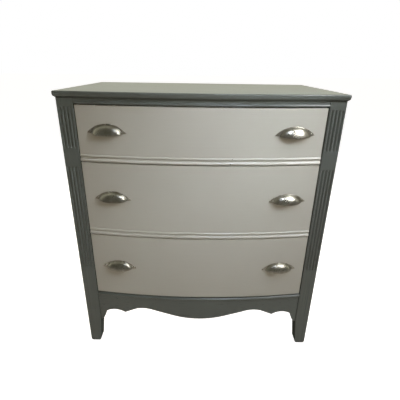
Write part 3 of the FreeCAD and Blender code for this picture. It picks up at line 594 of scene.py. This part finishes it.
def makeApron():
    low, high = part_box("apron")
    half = bow["halfChord"] * mm
    height = high.z - low.z
    right = [(x * half, high.z - z * height, rise * height) for x, z, rise in apron["scallop"]]
    # walked from left to right, so a rise to the left of the way is upwards
    rises = [apron["middleRise"] * height] + [point[2] for point in right[:-1]]
    edge = [(-point[0], point[1], rise) for point, rise in zip(right, rises)][::-1] + right
    outline = [(-half, high.z), (-half, low.z), edge[0][:2]]
    for here, there in zip(edge, edge[1:]):
        outline += arc(here[:2], there[:2], here[2], apron["arcSteps"] if here[2] else 1)
    outline += [(half, low.z), (half, high.z)]
    front = bowLine + rail["apronSet"] * mm
    points = [(x, y, z) for y in (front, front + rail["apronThickness"] * mm) for x, z in outline]
    piece = newPiece("apron_painted", points, faces=ringFaces(len(outline), 2))
    closeMesh(piece, merge=0.001)
    easeEdges(piece, apron["bevel"])
    work = bmesh.new()
    work.from_mesh(piece.data)
    strips = round(2 * half / (apron["stripWidth"] * mm))
    for number in range(1, strips):
        everything = work.verts[:] + work.edges[:] + work.faces[:]
        bmesh.ops.bisect_plane(work, geom=everything, dist=1e-7, plane_no=(1, 0, 0),
                               plane_co=(-half + 2 * half * number / strips, 0, 0))
    work.to_mesh(piece.data)
    work.free()
    addTree(piece, bowTree, {"Sweep Section": False, "Bow Axis": bowAxis,
                             "Straight Back": boards["unbent"] * mm, "Finish": caseLevel})
    applyAll(piece)
    closeMesh(piece, merge=0.001)
    shade(piece)
    standFor(piece, "apron")


makeApron()
print("apron cut and bent")

# Corner posts: rings of points stacked up each post. The foot tapers on its two inner sides.
post = {
    "width": 43.5, "footTaper": 9, "taperHeight": 104, "footRound": 10, "footInset": 7, "ease": 2,
    "easeSteps": 4, "backEdge": 1, "rabbetPast": 5,
    # heights of the rings, as shares of the foot's rounding, of its taper and of the whole post
    "footRows": (0.375, 0.5, 0.625, 0.75, 0.875, 1), "taperRows": (0.3, 0.55, 0.8, 1),
    "postRows": (0.25, 0.5, 0.78, 1), "between": (0.25, 0.5, 0.75),
    "fluteCount": 4, "flutePitch": 9.3, "fluteRadius": 3.2, "fluteDepth": 2.6, "fluteRunOut": 8,
    "upperFlutes": (690, 802), "lowerFlutes": (304.5, 639), "fluteSoftness": 0.3, "fluteColumns": 14,
    "fluteSpread": 1.02,  # the columns of points reach just past the flute's edges
    "endRows": 14, "endSpan": 1.1, "endStart": 0.25,  # rows of points at the flutes' ends
    "faceReach": 0.05,  # points this near the front plane are on the face
}


def makeFluteTree():
    # a round cutter run up the face of the post, its ends round too
    tree, given = newTree("flutes", {
        "Middle": "Float", "Pitch": "Float", "Count": "Int", "Radius": "Float", "Depth": "Float",
        "Run Out": "Float", "Softness": "Float", "Low": "Float", "High": "Float", "Face": "Float",
        "Finish": "Material"})
    place = addNode(tree, "ShaderNodeSeparateXYZ", {0: addNode(tree, "GeometryNodeInputPosition")})
    take = {socket.name: socket for socket in (*given.outputs, *place.outputs)}
    for result, operation, *feeds in (
            # the nearest flute: its number runs from zero at the left
            ("from middle", "SUBTRACT", "X", "Middle"),
            ("pitches", "DIVIDE", "from middle", "Pitch"),
            ("last", "SUBTRACT", "Count", 1),
            ("half last", "MULTIPLY", "last", 0.5),
            ("number", "ADD", "pitches", "half last"),
            ("whole", "ROUND", "number"),
            ("first or more", "MAXIMUM", "whole", 0),
            ("nearest", "MINIMUM", "first or more", "last"),
            ("apart", "SUBTRACT", "number", "nearest"),
            ("across", "MULTIPLY", "apart", "Pitch"),
            # how far past the end of the cutter's straight run
            ("first axis", "ADD", "Low", "Run Out"),
            ("last axis", "SUBTRACT", "High", "Run Out"),
            ("below", "SUBTRACT", "first axis", "Z"),
            ("above", "SUBTRACT", "Z", "last axis"),
            ("outside", "MAXIMUM", "below", "above"),
            ("past", "MAXIMUM", "outside", 0),
            ("lean", "DIVIDE", "Radius", "Run Out"),
            ("over", "MULTIPLY", "past", "lean"),
            # how deep the cutter reaches there
            ("across square", "MULTIPLY", "across", "across"),
            ("far", "MULTIPLY_ADD", "over", "over", "across square"),
            ("square", "MULTIPLY", "Radius", "Radius"),
            ("left", "SUBTRACT", "square", "far"),
            ("inside", "MAXIMUM", "left", 0),
            ("reach", "SQRT", "inside"),
            ("lift", "SUBTRACT", "Radius", "Depth"),
            ("raw", "SUBTRACT", "reach", "lift"),
            # where the cut runs out, the paint rounds it over
            ("soft", "MULTIPLY", "Softness", "Softness"),
            ("raw square", "MULTIPLY_ADD", "raw", "raw", "soft"),
            ("raw root", "SQRT", "raw square"),
            ("twice", "ADD", "raw", "raw root"),
            ("cut", "MULTIPLY", "twice", 0.5)):
        numbered = {number: take.get(feed, feed) for number, feed in enumerate(feeds)}
        take[result] = addNode(tree, "ShaderNodeMath", numbered, operation=operation).outputs[0]
    offset = addNode(tree, "ShaderNodeCombineXYZ", {"Y": take["cut"]})
    onFace = addNode(tree, "FunctionNodeCompare", {"A": take["Y"], "B": take["Face"]},
                     operation="LESS_EQUAL")
    near = addNode(tree, "FunctionNodeCompare", {"A": take["far"], "B": take["square"]},
                   operation="LESS_THAN")
    chosen = addNode(tree, "FunctionNodeBooleanMath", {0: onFace, 1: near}, operation="AND")
    moved = addNode(tree, "GeometryNodeSetPosition", {
        "Geometry": take["Geometry"], "Selection": chosen, "Offset": offset})
    real = addNode(tree, "GeometryNodeRealizeInstances", {"Geometry": moved})
    done = addNode(tree, "GeometryNodeSetMaterial", {"Geometry": real, "Material": take["Finish"]})
    addNode(tree, "NodeGroupOutput", {"Geometry": done})
    return tree


fluteTree = makeFluteTree()


def postRows(fluted, top):
    # heights of the rings, close together where the shape changes
    use = post
    rows = [use["ease"] * (1 - math.cos(turn)) for turn in quarterTurn(use["easeSteps"])]
    rows += [use["footRound"] * share ** 1.5 for share in use["footRows"]]
    rows += [use["taperHeight"] * share for share in use["taperRows"]]
    if fluted:
        for low, high in (use["lowerFlutes"], use["upperFlutes"]):
            for end, inwards in ((low, 1), (high, -1)):
                step = use["endSpan"] * use["fluteRunOut"] / use["endRows"]
                rows += [end + inwards * (step * i - use["endStart"]) for i in range(use["endRows"] + 1)]
            rows += [low + (high - low) * share for share in use["between"]]
    rows += [top * share for share in use["postRows"]]
    return sorted(set(round(row, 4) for row in rows))


def postColumns(fluted):
    # places across the face as shares between its two eased edges
    use = post
    span = use["width"] - 2 * use["ease"]
    spots = [0, span]
    if fluted:
        first = span / 2 - (use["fluteCount"] - 1) / 2 * use["flutePitch"]
        for flute in range(use["fluteCount"]):
            middle = first + flute * use["flutePitch"]
            for i in range(use["fluteColumns"] + 1):
                turn = math.pi * (i / use["fluteColumns"] - 0.5)
                spots.append(middle + use["fluteRadius"] * use["fluteSpread"] * math.sin(turn))
    else:
        spots += [span * share for share in use["between"]]
    return [spot / span for spot in sorted(spots)]


def cutRabbet(piece):
    # the back panel lies flush in a rabbet of both rear posts
    low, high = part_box("back_panel")
    past = post["rabbetPast"] * mm
    cutAway(piece, blockBetween(low, high + Vector((0, past, past))))


def makePost(node, fluted):
    use = post
    low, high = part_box(node)
    depth = (high.y - low.y) / mm
    top = high.z / mm
    columns = postColumns(fluted)
    rounding = quarterTurn(use["easeSteps"])
    rings = []
    for z in postRows(fluted, top):
        lowShare = max(use["footRound"] - z, 0) / use["footRound"]
        lift = use["footInset"] * (1 - math.sqrt(1 - lowShare ** 2))
        taper = min(max((use["taperHeight"] - z) / (use["taperHeight"] - use["footRound"]), 0), 1)
        inner = use["footTaper"] * taper + lift
        outer = use["width"] - lift
        slant = use["footTaper"] * max(use["taperHeight"] - z, 0) / use["taperHeight"]
        front = 0 if fluted else slant
        back = depth - slant if fluted else depth
        foot = max(use["ease"] - z, 0)
        front += use["ease"] - math.sqrt(use["ease"] ** 2 - foot ** 2)
        ring = [(inner + use["ease"] * (1 - math.sin(a)), front + use["ease"] * (1 - math.cos(a)))
                for a in reversed(rounding)]
        left, right = inner + use["ease"], outer - use["ease"]
        ring += [(left + (right - left) * share, front) for share in columns[1:-1]]
        ring += [(outer - use["ease"] * (1 - math.sin(a)), front + use["ease"] * (1 - math.cos(a)))
                 for a in rounding]
        ring += [(outer, back), (inner, back)]
        rings.append([(x, y, z) for x, y in ring])
    sign = -1 if low.x < 0 else 1
    start = Vector((min(abs(low.x), abs(high.x)), low.y, 0))
    points = [((start.x + x * mm) * sign, start.y + y * mm, z * mm) for ring in rings for x, y, z in ring]
    piece = newPiece(node + "_painted", points, faces=ringFaces(len(rings[0]), len(rings)))
    if fluted:
        for span in (use["upperFlutes"], use["lowerFlutes"]):
            addTree(piece, fluteTree, {
                "Middle": (low.x + high.x) / 2, "Pitch": use["flutePitch"] * mm, "Count": use["fluteCount"],
                "Radius": use["fluteRadius"] * mm, "Depth": use["fluteDepth"] * mm,
                "Run Out": use["fluteRunOut"] * mm, "Softness": use["fluteSoftness"] * mm,
                "Low": span[0] * mm, "High": span[1] * mm, "Face": low.y + use["faceReach"] * mm,
                "Finish": caseUpright})
        applyAll(piece)
    else:
        cutRabbet(piece)
    coat(piece, caseUpright, caseInside)
    closeMesh(piece, merge=0.005)
    for face in piece.data.polygons:  # the sides that face each other, under the case
        face.material_index = 1 if face.normal.x * sign < -0.9 else 0
    easeEdges(piece, use["backEdge"], angle=60)
    shade(piece)
    standFor(piece, node)


for side in sides:
    makePost("front_post_" + side, True)
    makePost("rear_post_" + side, False)
print("posts turned out, the front pair fluted")

# Top board: its outline is stepped inwards down the moulded edge
top = {"corner": 4, "cornerSteps": 10, "bowSteps": 96, "nose": 3.5, "ovolo": 9, "edgeSteps": 8,
       "backEase": 0.8}


def makeTop():
    low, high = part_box("top_board")
    half = high.x / mm
    chord = bow["halfChord"]
    edge = (low.y / mm) + bow["rise"]
    back = high.y / mm
    corner = top["corner"]
    # outline from the back left corner round the front, as point and outward direction
    path = [((-half, back), (-1, 0)), ((-half, edge + corner), (-1, 0))]
    for turn in quarterTurn(top["cornerSteps"])[1:]:
        out = (-math.cos(turn), -math.sin(turn))
        path.append(((-half + corner + corner * out[0], edge + corner + corner * out[1]), out))
    radius = bowRadius / mm
    sweep = math.asin(chord / radius)
    for i in range(top["bowSteps"] + 1):
        turn = -sweep + 2 * sweep * i / top["bowSteps"]
        out = (math.sin(turn), -math.cos(turn))
        path.append(((radius * out[0], edge - bow["rise"] + radius + radius * out[1]), out))
    for (x, y), (ox, oy) in reversed(path[:2 + top["cornerSteps"]]):
        path.append(((-x, y), (-ox, oy)))
    # the edge as inset and height
    nose, ovolo = top["nose"], top["ovolo"]
    lowest, highest = low.z / mm, high.z / mm
    quarter = quarterTurn(top["edgeSteps"])
    edgeLine = [(nose * (1 - math.sin(a)), highest - nose * (1 - math.cos(a))) for a in quarter]
    edgeLine += [(ovolo * (1 - math.cos(a)), lowest + ovolo * (1 - math.sin(a))) for a in quarter]
    points = []
    for inset, z in edgeLine:
        for (x, y), (ox, oy) in path:
            rounded = 0 < abs(ox) < 1 and abs(x) > chord
            if rounded and inset > corner:  # further in than the corner's centre, the sides meet in a mitre
                spot = (math.copysign(half - inset, x), edge + inset)
            else:
                spot = (x - ox * inset, y - oy * inset)
            points.append((spot[0] * mm, spot[1] * mm, z * mm))
    piece = newPiece("top_board_painted", points, faces=ringFaces(len(path), len(edgeLine)))
    coat(piece, caseLevel)
    closeMesh(piece, merge=0.005)
    easeEdges(piece, top["backEase"], angle=60)
    shade(piece)
    standFor(piece, "top_board")


makeTop()
print("top board moulded")

# Drawer boxes and side panels: the CAD boards with their long edges eased
drawerBox = {"edge": 0.7, "shortest": 3}


def easedBoard(node, finish):
    piece = mergedCopy(node, node + "_eased")
    coat(piece, finish)
    work = bmesh.new()
    work.from_mesh(piece.data)
    weight = work.edges.layers.float.new("bevel_weight_edge")
    for edge in work.edges:
        sharp = edge.is_convex and edge.calc_face_angle(0) > math.radians(40)
        edge[weight] = 1.0 if sharp and edge.calc_length() > drawerBox["shortest"] * mm else 0.0
    work.to_mesh(piece.data)
    work.free()
    easeEdges(piece, drawerBox["edge"], weights=True)
    shade(piece)
    standFor(piece, node)


for level in levels:
    for side in sides:
        easedBoard("%s_drawer_side_%s" % (level, side), woodDeep)
    easedBoard(level + "_drawer_back", woodAcross)
for side in sides:
    easedBoard("side_panel_" + side, caseUpright)
print("drawer boxes eased")

# Nodes whose shape is right as it is, with their finish
kept = {"rear_rail_top": woodAcross, "rear_rail_bottom": woodAcross, "back_panel": backing}
for side in sides:
    kept["kicker_" + side] = woodDeep
    kept["apron_block_" + side] = woodUpright
    kept["drawer_stop_" + side] = woodAcross
    for level in levels:
        kept["%s_runner_%s" % (level, side)] = woodDeep
        kept["%s_guide_%s" % (level, side)] = woodDeep
for level in levels:
    kept[level + "_drawer_bottom"] = woodAcross
for node, finish in kept.items():
    for slot in nodes[node].material_slots:
        slot.material = finish

# Cup pulls: a flat eyelid plate with a hood. Sections run from the plate's edge over the hood to its
# lip and back inside, and are placed side by side from ear to ear.
pull = {
    "inset": 81.5, "width": 108, "plateRise": 24, "plateDrop": 4.5, "earLine": 6, "plateThickness": 1.6,
    "edgeRound": 0.7, "fillet": 1.2, "cupWidth": 82, "cupRise": 22, "cupMiddle": -14, "squareness": 0.85,
    "reach": 20, "wall": 1.6, "lip": 0.5, "screwSpacing": 88, "screwLift": 3.5,
    "stations": 72, "hoodSteps": 16, "edgeSteps": 4, "filletSteps": 5, "lipSteps": 4, "halvings": 40,
    "toeShare": 0.45, "filletShare": 0.6,  # the fillet's most, of the plate's width and the hood's height
}


def pullSections():
    use = pull
    upper = circleThrough(use["width"] / 2, use["plateRise"])
    lower = circleThrough(use["width"] / 2, use["plateDrop"])
    upperMiddle = use["plateRise"] - upper
    gap = lower - use["plateDrop"] - use["cupMiddle"]
    power = use["squareness"]
    tall = use["cupRise"] - use["cupMiddle"]
    broad = use["cupWidth"] / 2 / (1 - (-use["cupMiddle"] / tall) ** (2 / power)) ** (power / 2)
    centre = Vector((0, 0, use["cupMiddle"]))

    def cupPoint(turn):
        # the cup's outline on the plate: an oval that is a little square, about a middle below the lip
        across, upwards = math.sin(turn), math.cos(turn)
        return Vector((math.copysign(broad * abs(across) ** power, across), 0, tall * upwards ** power))

    def rimAlong(way):
        # from the cup's middle to the curve of the plate's lower edge, or past the cup where it misses that
        crossing = (way.z * gap) ** 2 - gap ** 2 + lower ** 2
        return way.z * gap - math.sqrt(crossing) if crossing > 0 else use["width"]

    # the outline ends where it comes to that curve, at a turn found by halving
    narrow, widest = 0.5, math.pi / 2
    for halving in range(use["halvings"]):
        turn = (narrow + widest) / 2
        if cupPoint(turn).length > rimAlong(cupPoint(turn).normalized()):
            narrow = turn
        else:
            widest = turn
    widest = narrow
    earTurn = math.asin(use["width"] / 2 / upper)
    faceRadius = (bowRadius / mm) - drawerFront["recess"]
    innerReach = use["reach"] - use["wall"]
    thick, rounding = use["plateThickness"], use["edgeRound"]
    sections = []
    for station in range(use["stations"] + 1):
        share = math.sin(math.pi / 2 * (2 * station / use["stations"] - 1))
        way = cupPoint(share * widest)
        cup = way.length
        way.normalize()
        innerCup = cup - use["wall"]
        earShare = share * earTurn
        edge = Vector((upper * math.sin(earShare), 0, upperMiddle + upper * math.cos(earShare)))
        onCup = centre + way * cup
        inwards = (onCup - edge).normalized()
        width = (onCup - edge).length
        rim = min(rimAlong(way), cup)
        points = [edge.copy()]
        for turn in quarterTurn(use["edgeSteps"]):
            points.append(edge + inwards * rounding * (1 - math.cos(turn)) +
                          Vector((0, -(thick - rounding) - rounding * math.sin(turn), 0)))
        # the fillet leaves the plate and runs up the hood
        tallest = math.acos(min(rim / cup, 1))
        toe = min(use["fillet"], use["toeShare"] * width)
        firstLatitude = min(math.asin((thick + use["fillet"]) / use["reach"]), use["filletShare"] * tallest)
        a = onCup - inwards * toe + Vector((0, -thick, 0))
        b = onCup + Vector((0, -thick, 0))
        latitudes = [firstLatitude + (tallest - firstLatitude) * i / use["hoodSteps"]
                     for i in range(use["hoodSteps"] + 1)]
        hood = []
        for latitude in latitudes:
            out = max(use["reach"] * math.sin(latitude), thick)
            hood.append(centre + way * cup * math.cos(latitude) + Vector((0, -out, 0)))
        c = hood[0]
        for i in range(use["filletSteps"]):
            t = i / use["filletSteps"]
            points.append(a * (1 - t) ** 2 + b * 2 * t * (1 - t) + c * t ** 2)
        points += hood
        # rolled lip
        innerRim = min(rim, innerCup)
        innerTallest = math.acos(min(innerRim / innerCup, 1))
        innerLatitudes = [innerTallest * (1 - i / use["hoodSteps"]) for i in range(use["hoodSteps"] + 1)]
        inner = [centre + Vector((0, -innerReach * math.sin(latitude), 0)) +
                 way * innerCup * math.cos(latitude) for latitude in innerLatitudes]
        middle = (hood[-1] + inner[0]) / 2
        fall = Vector((0, 0, -use["lip"])) * min(1, (hood[-1] - inner[0]).length / use["wall"])
        for i in range(1, use["lipSteps"]):
            a = math.pi * i / use["lipSteps"]
            points.append(middle + (hood[-1] - middle) * math.cos(a) + fall * math.sin(a))
        points += inner
        for i in (0, len(points) - 1):
            points[i].y = points[i].x ** 2 / (2 * faceRadius)
        sections.append(points)
    return sections


def pullPlace(level, side):
    # where the pull stands on the bowed face, and how it is turned
    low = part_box("%s_pull_%s" % (level, side))[0]
    faceRadius = bowRadius - drawerFront["recess"] * mm
    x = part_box(level + "_drawer_front")[1].x - pull["inset"] * mm
    turn = math.asin(x / faceRadius)
    y = bowAxis - faceRadius * math.cos(turn)
    sign = sides[side]
    return (Matrix.Translation((sign * x, y, low.z + pull["earLine"] * mm))
            @ Matrix.Rotation(sign * turn, 4, "Z"))


def makePulls():
    sections = pullSections()
    points = [point * mm for section in sections for point in section]
    faces = ringFaces(len(sections[0]), len(sections))
    for level in levels:
        for side in sides:
            node = "%s_pull_%s" % (level, side)
            place = pullPlace(level, side)
            piece = newPiece(node + "_nickel", [place @ point for point in points], faces=faces)
            coat(piece, pullMetal)
            closeMesh(piece)
            shade(piece, crease=45)
            standFor(piece, node)


makePulls()
print("cup pulls formed")

# Fasteners: a turned blank, slotted, put on points by a tree
fastener = {
    "segments": 24, "domeSteps": 7, "turnSeed": 4,
    "pullScrew": {"shank": 1.5, "length": 14, "head": 2.7, "height": 1.8, "slot": (0.8, 0.9)},
    "topScrew": {"shank": 2, "length": 28, "head": 4, "height": 2.5, "slot": (1, 1.2)},
    "nail": {"shank": 0.9, "length": 16, "head": 2.2, "height": 0.8},
}


def makeFastenerTree():
    tree, given = newTree("fasteners", {"Fastener": "Object", "Turn Seed": "Int", "Finish": "Material"})
    take = given.outputs
    blank = addNode(tree, "GeometryNodeObjectInfo", {"Object": take["Fastener"]})
    tilt = addNode(tree, "GeometryNodeInputNamedAttribute", {"Name": "tilt"}, data_type="FLOAT_VECTOR")
    rotation = addNode(tree, "FunctionNodeEulerToRotation", {0: tilt})
    placed = addNode(tree, "GeometryNodeInstanceOnPoints", {
        "Points": take["Geometry"], "Instance": blank.outputs["Geometry"], "Rotation": rotation})
    turn = addNode(tree, "FunctionNodeRandomValue", {"Min": 0.0, "Max": math.pi, "Seed": take["Turn Seed"]},
                   data_type="FLOAT")
    spin = addNode(tree, "ShaderNodeCombineXYZ", {"Z": turn.outputs[1]})
    spun = addNode(tree, "GeometryNodeRotateInstances", {
        "Instances": placed, "Rotation": spin, "Local Space": True})
    real = addNode(tree, "GeometryNodeRealizeInstances", {"Geometry": spun})
    done = addNode(tree, "GeometryNodeSetMaterial", {"Geometry": real, "Material": take["Finish"]})
    addNode(tree, "NodeGroupOutput", {"Geometry": done})
    return tree


def turnedBlank(name, use, head):
    # head: radius and height of its points from the shank up; tip and shank come before them
    count = fastener["segments"]
    turns = [2 * math.pi * i / count for i in range(count)]
    rings = [(use["shank"], use["shank"] - use["length"]), (use["shank"], 0)] + head
    points = [(0, 0, -use["length"] * mm), (0, 0, use["height"] * mm)]
    for r, z in rings:
        points += [(r * mm * math.cos(turn), r * mm * math.sin(turn), z * mm) for turn in turns]
    faces = []
    for i in range(count):
        j = (i + 1) % count
        faces.append([0, 2 + j, 2 + i])
        lastRing = 2 + (len(rings) - 1) * count
        faces.append([1, lastRing + i, lastRing + j])
        for row in range(len(rings) - 1):
            a, b = 2 + row * count + i, 2 + row * count + j
            faces.append([a, b, b + count, a + count])
    blank = newPiece(name, points, faces=faces)
    if "slot" in use:
        width, depth = (size * mm for size in use["slot"])
        reach, topZ = 2 * use["head"] * mm, use["height"] * mm
        cutAway(blank, blockBetween((-reach, -width / 2, topZ - depth), (reach, width / 2, topZ + depth)))
    blank.data.shade_smooth()
    blank.data.set_sharp_from_angle(angle=math.radians(35))
    return blank


def putFasteners(name, node, blank, finish, spots):
    # spots: place and tilt of each fastener
    piece = newPiece(name, [place for place, tilt in spots])
    tilts = piece.data.attributes.new("tilt", "FLOAT_VECTOR", "POINT")
    for number, (place, tilt) in enumerate(spots):
        tilts.data[number].vector = tilt
    addTree(piece, fastenerTree, {"Fastener": blank, "Turn Seed": fastener["turnSeed"], "Finish": finish})
    applyAll(piece)
    standFor(piece, node)


fastenerTree = makeFastenerTree()


def makeFasteners():
    use = fastener["pullScrew"]
    screw = turnedBlank("pull_screw", use, [
        (use["head"] * math.cos(turn), use["height"] * math.sin(turn))
        for turn in quarterTurn(fastener["domeSteps"])[:-1]])
    for level in levels:
        spots = []
        for side in sides:
            place = pullPlace(level, side)
            turn = place.to_euler().z
            for end in (-0.5, 0.5):
                across = end * pull["screwSpacing"]
                local = Vector((across, -pull["plateThickness"], pull["screwLift"])) * mm
                spots.append((place @ local, (math.pi / 2, 0, turn)))
        putFasteners(level + "_pull_screws_nickel", level + "_pull_screws", screw, screwMetal, spots)
    use = fastener["topScrew"]
    sunk = turnedBlank("top_screw", use, [(use["head"], use["height"])])
    spots = [(((low.x + high.x) / 2, (low.y + high.y) / 2, low.z + use["height"] * mm),
              (math.pi, 0, 0)) for low, high in looseBoxes("top_screws")]
    putFasteners("top_screws_steel", "top_screws", sunk, wireSteel, spots)
    use = fastener["nail"]
    nail = turnedBlank("nail", use, [
        (use["head"] * across, use["height"] * up) for across, up in ((1, 0), (1, 0.6), (0.6, 0.95))])
    spots = [(((low.x + high.x) / 2, high.y - use["height"] * mm, (low.z + high.z) / 2),
              (-math.pi / 2, 0, 0)) for low, high in looseBoxes("back_nails")]
    putFasteners("back_nails_steel", "back_nails", nail, wireSteel, spots)
    for blank in (screw, sunk, nail):
        bpy.data.objects.remove(blank)


def looseBoxes(node):
    # the box of each separate solid of a node
    work = bmesh.new()
    work.from_mesh(nodes[node].data)
    bmesh.ops.remove_doubles(work, verts=work.verts, dist=weld)
    left = set(work.verts)
    boxes = []
    while left:
        group = [left.pop()]
        for vert in group:
            for edge in vert.link_edges:
                other = edge.other_vert(vert)
                if other in left:
                    left.remove(other)
                    group.append(other)
        xs, ys, zs = zip(*(vert.co for vert in group))
        boxes.append((Vector((min(xs), min(ys), min(zs))), Vector((max(xs), max(ys), max(zs)))))
    work.free()
    return sorted(boxes, key=lambda pair: tuple(pair[0]))


makeFasteners()
print("screws and nails in place")

# Studio: a pale floor, the camera of the photograph, soft light from the ceiling and two windows above
# and at the right, a warm lamp in front, and fills that lift the shade. From here on, in metres.
studio = {
    "floorSize": 60, "floorColour": "#bebdba", "floorGlow": 0.97, "floorMirrored": 0.2,
    "worldColour": "#ffdca6", "worldStrength": 0.08, "wallColour": "#f7f6e1", "roomLight": 0.2,
    "wallFade": (-0.6, 0.1),  # from the room in front to the wall, along the way the ray goes
    "ceiling": {"place": (1.2, -0.8, 2.2), "target": (0, -0.15, 0.6), "size": (0.6, 0.4), "power": 16,
                "hue": "#fafcff", "spread": 180},
    "window": {"place": (1.2, -1.2, 1.6), "target": (0.1, -0.2, 0.75), "size": (0.5, 0.5), "power": 1.15,
               "hue": "#fbfcff", "spread": 35},
    "skylight": {"place": (0.25, -1.1, 1.7), "target": (0.12, -0.2, 0.6), "size": (0.25, 0.25),
                 "power": 0.45, "hue": "#e0ebff", "spread": 45},
    "lamp": {"place": (0.3, -2.0, 1.3), "target": (0.1, -0.2, 0.6), "size": (0.8, 0.8), "power": 8.8,
             "hue": "#ffe8c6", "spread": 180},
    "leftFill": {"place": (-2.2, 0.5, 1.1), "target": (-0.3, 0, 0.45), "size": (1.2, 0.8), "power": 24,
                 "hue": "#fff4e2", "spread": 120},
    "rightFill": {"place": (2.2, 0.6, 1.1), "target": (0.3, 0, 0.45), "size": (1.2, 0.8), "power": 14,
                  "hue": "#f6f6f4", "spread": 120},
    "backFill": {"place": (0.3, 2.4, 1.1), "target": (0, 0.2, 0.45), "size": (1.4, 0.8), "power": 13,
                 "hue": "#fff8ee", "spread": 120},
}
unmirrored = ("lamp", "leftFill", "rightFill", "backFill")  # these only lift the shade
lamps = ("ceiling", "window", "skylight") + unmirrored


def mirrorRays(tree, ray):
    # rays off metal and paint, and through glass: these see the background too
    return addNode(tree, "ShaderNodeMath", {
        0: ray.outputs["Is Glossy Ray"], 1: ray.outputs["Is Transmission Ray"]}, operation="MAXIMUM")


def makeStudio():
    world = bpy.data.worlds.new("studio light")
    scene.world = world
    world.use_nodes = True
    tree = world.node_tree
    tree.nodes.clear()
    ray = addNode(tree, "ShaderNodeLightPath")
    soft = addNode(tree, "ShaderNodeBackground", {
        "Color": colour(studio["worldColour"]), "Strength": studio["worldStrength"]})
    # the camera sees white all round; metal and paint see a pale wall behind the dresser and a dimmer
    # room in front
    coordinates = addNode(tree, "ShaderNodeTexCoord")
    direction = addNode(tree, "ShaderNodeSeparateXYZ", {0: coordinates.outputs["Generated"]})
    fadeFrom, fadeTo = studio["wallFade"]
    room = addNode(tree, "ShaderNodeMapRange", {
        "Value": direction.outputs["Y"], "From Min": fadeFrom, "From Max": fadeTo,
        "To Min": studio["roomLight"], "To Max": 1.0}, interpolation_type="SMOOTHSTEP")
    wall = addNode(tree, "ShaderNodeBackground", {"Color": colour(studio["wallColour"]), "Strength": room})
    mirrored = addNode(tree, "ShaderNodeMixShader", {0: mirrorRays(tree, ray), 1: soft, 2: wall})
    white = addNode(tree, "ShaderNodeBackground", {"Color": (1, 1, 1, 1), "Strength": 1.0})
    shown = addNode(tree, "ShaderNodeMixShader", {0: ray.outputs["Is Camera Ray"], 1: mirrored, 2: white})
    addNode(tree, "ShaderNodeOutputWorld", {"Surface": shown})

    half = studio["floorSize"] / 2
    floor = newPiece("floor", [(-half, -half, 0), (half, -half, 0), (half, half, 0), (-half, half, 0)],
                     faces=[[0, 1, 2, 3]])
    # the camera sees the floor as white; in metal and paint it is dim, and it takes its shadows as it is
    material, tree = newMaterial("pale studio floor")[:2]
    matt = addNode(tree, "ShaderNodeBsdfDiffuse", {"Color": colour(studio["floorColour"])})
    ray = addNode(tree, "ShaderNodeLightPath")
    dim = addNode(tree, "ShaderNodeMath", {0: mirrorRays(tree, ray), 1: studio["floorMirrored"]},
                  operation="MULTIPLY")
    lift = addNode(tree, "ShaderNodeMath", {
        0: ray.outputs["Is Camera Ray"], 1: studio["floorGlow"], 2: dim}, operation="MULTIPLY_ADD")
    glow = addNode(tree, "ShaderNodeEmission", {"Color": (1, 1, 1, 1), "Strength": lift})
    both = addNode(tree, "ShaderNodeAddShader", {0: matt, 1: glow})
    addNode(tree, "ShaderNodeOutputMaterial", {"Surface": both})
    coat(floor, material)

    for name in lamps:
        use = studio[name]
        lamp = bpy.data.lights.new(name, "AREA")
        lamp.shape = "RECTANGLE"
        lamp.size, lamp.size_y = use["size"]
        lamp.energy = use["power"]
        lamp.spread = math.radians(use["spread"])
        lamp.color = colour(use["hue"])[:3]
        light = bpy.data.objects.new(name, lamp)
        light.location = use["place"]
        aim = Vector(use["target"]) - Vector(use["place"])
        light.rotation_euler = aim.to_track_quat("-Z", "Y").to_euler()
        light.visible_glossy = name not in unmirrored
        scene.collection.objects.link(light)


camera = {"place": (-0.0012, -1.0697, 0.9048), "down": 22.66, "roll": 0.85, "right": 0.08, "lens": 29.124,
          "sensor": 36, "near": 0.01}


def makeCamera():
    lens = bpy.data.cameras.new("camera")
    lens.lens = camera["lens"]
    lens.sensor_width = camera["sensor"]
    lens.sensor_fit = "HORIZONTAL"
    lens.clip_start = camera["near"]
    view = bpy.data.objects.new("camera", lens)
    down, roll, right = (math.radians(camera[word]) for word in ("down", "roll", "right"))
    view.matrix_world = (Matrix.Translation(camera["place"]) @ Matrix.Rotation(-right, 4, "Z")
                         @ Matrix.Rotation(math.pi / 2 - down, 4, "X") @ Matrix.Rotation(roll, 4, "Z"))
    scene.collection.objects.link(view)
    scene.camera = view


makeStudio()
makeCamera()
scene.view_settings.view_transform = "Standard"
print("studio and camera set")

bpy.context.view_layer.update()
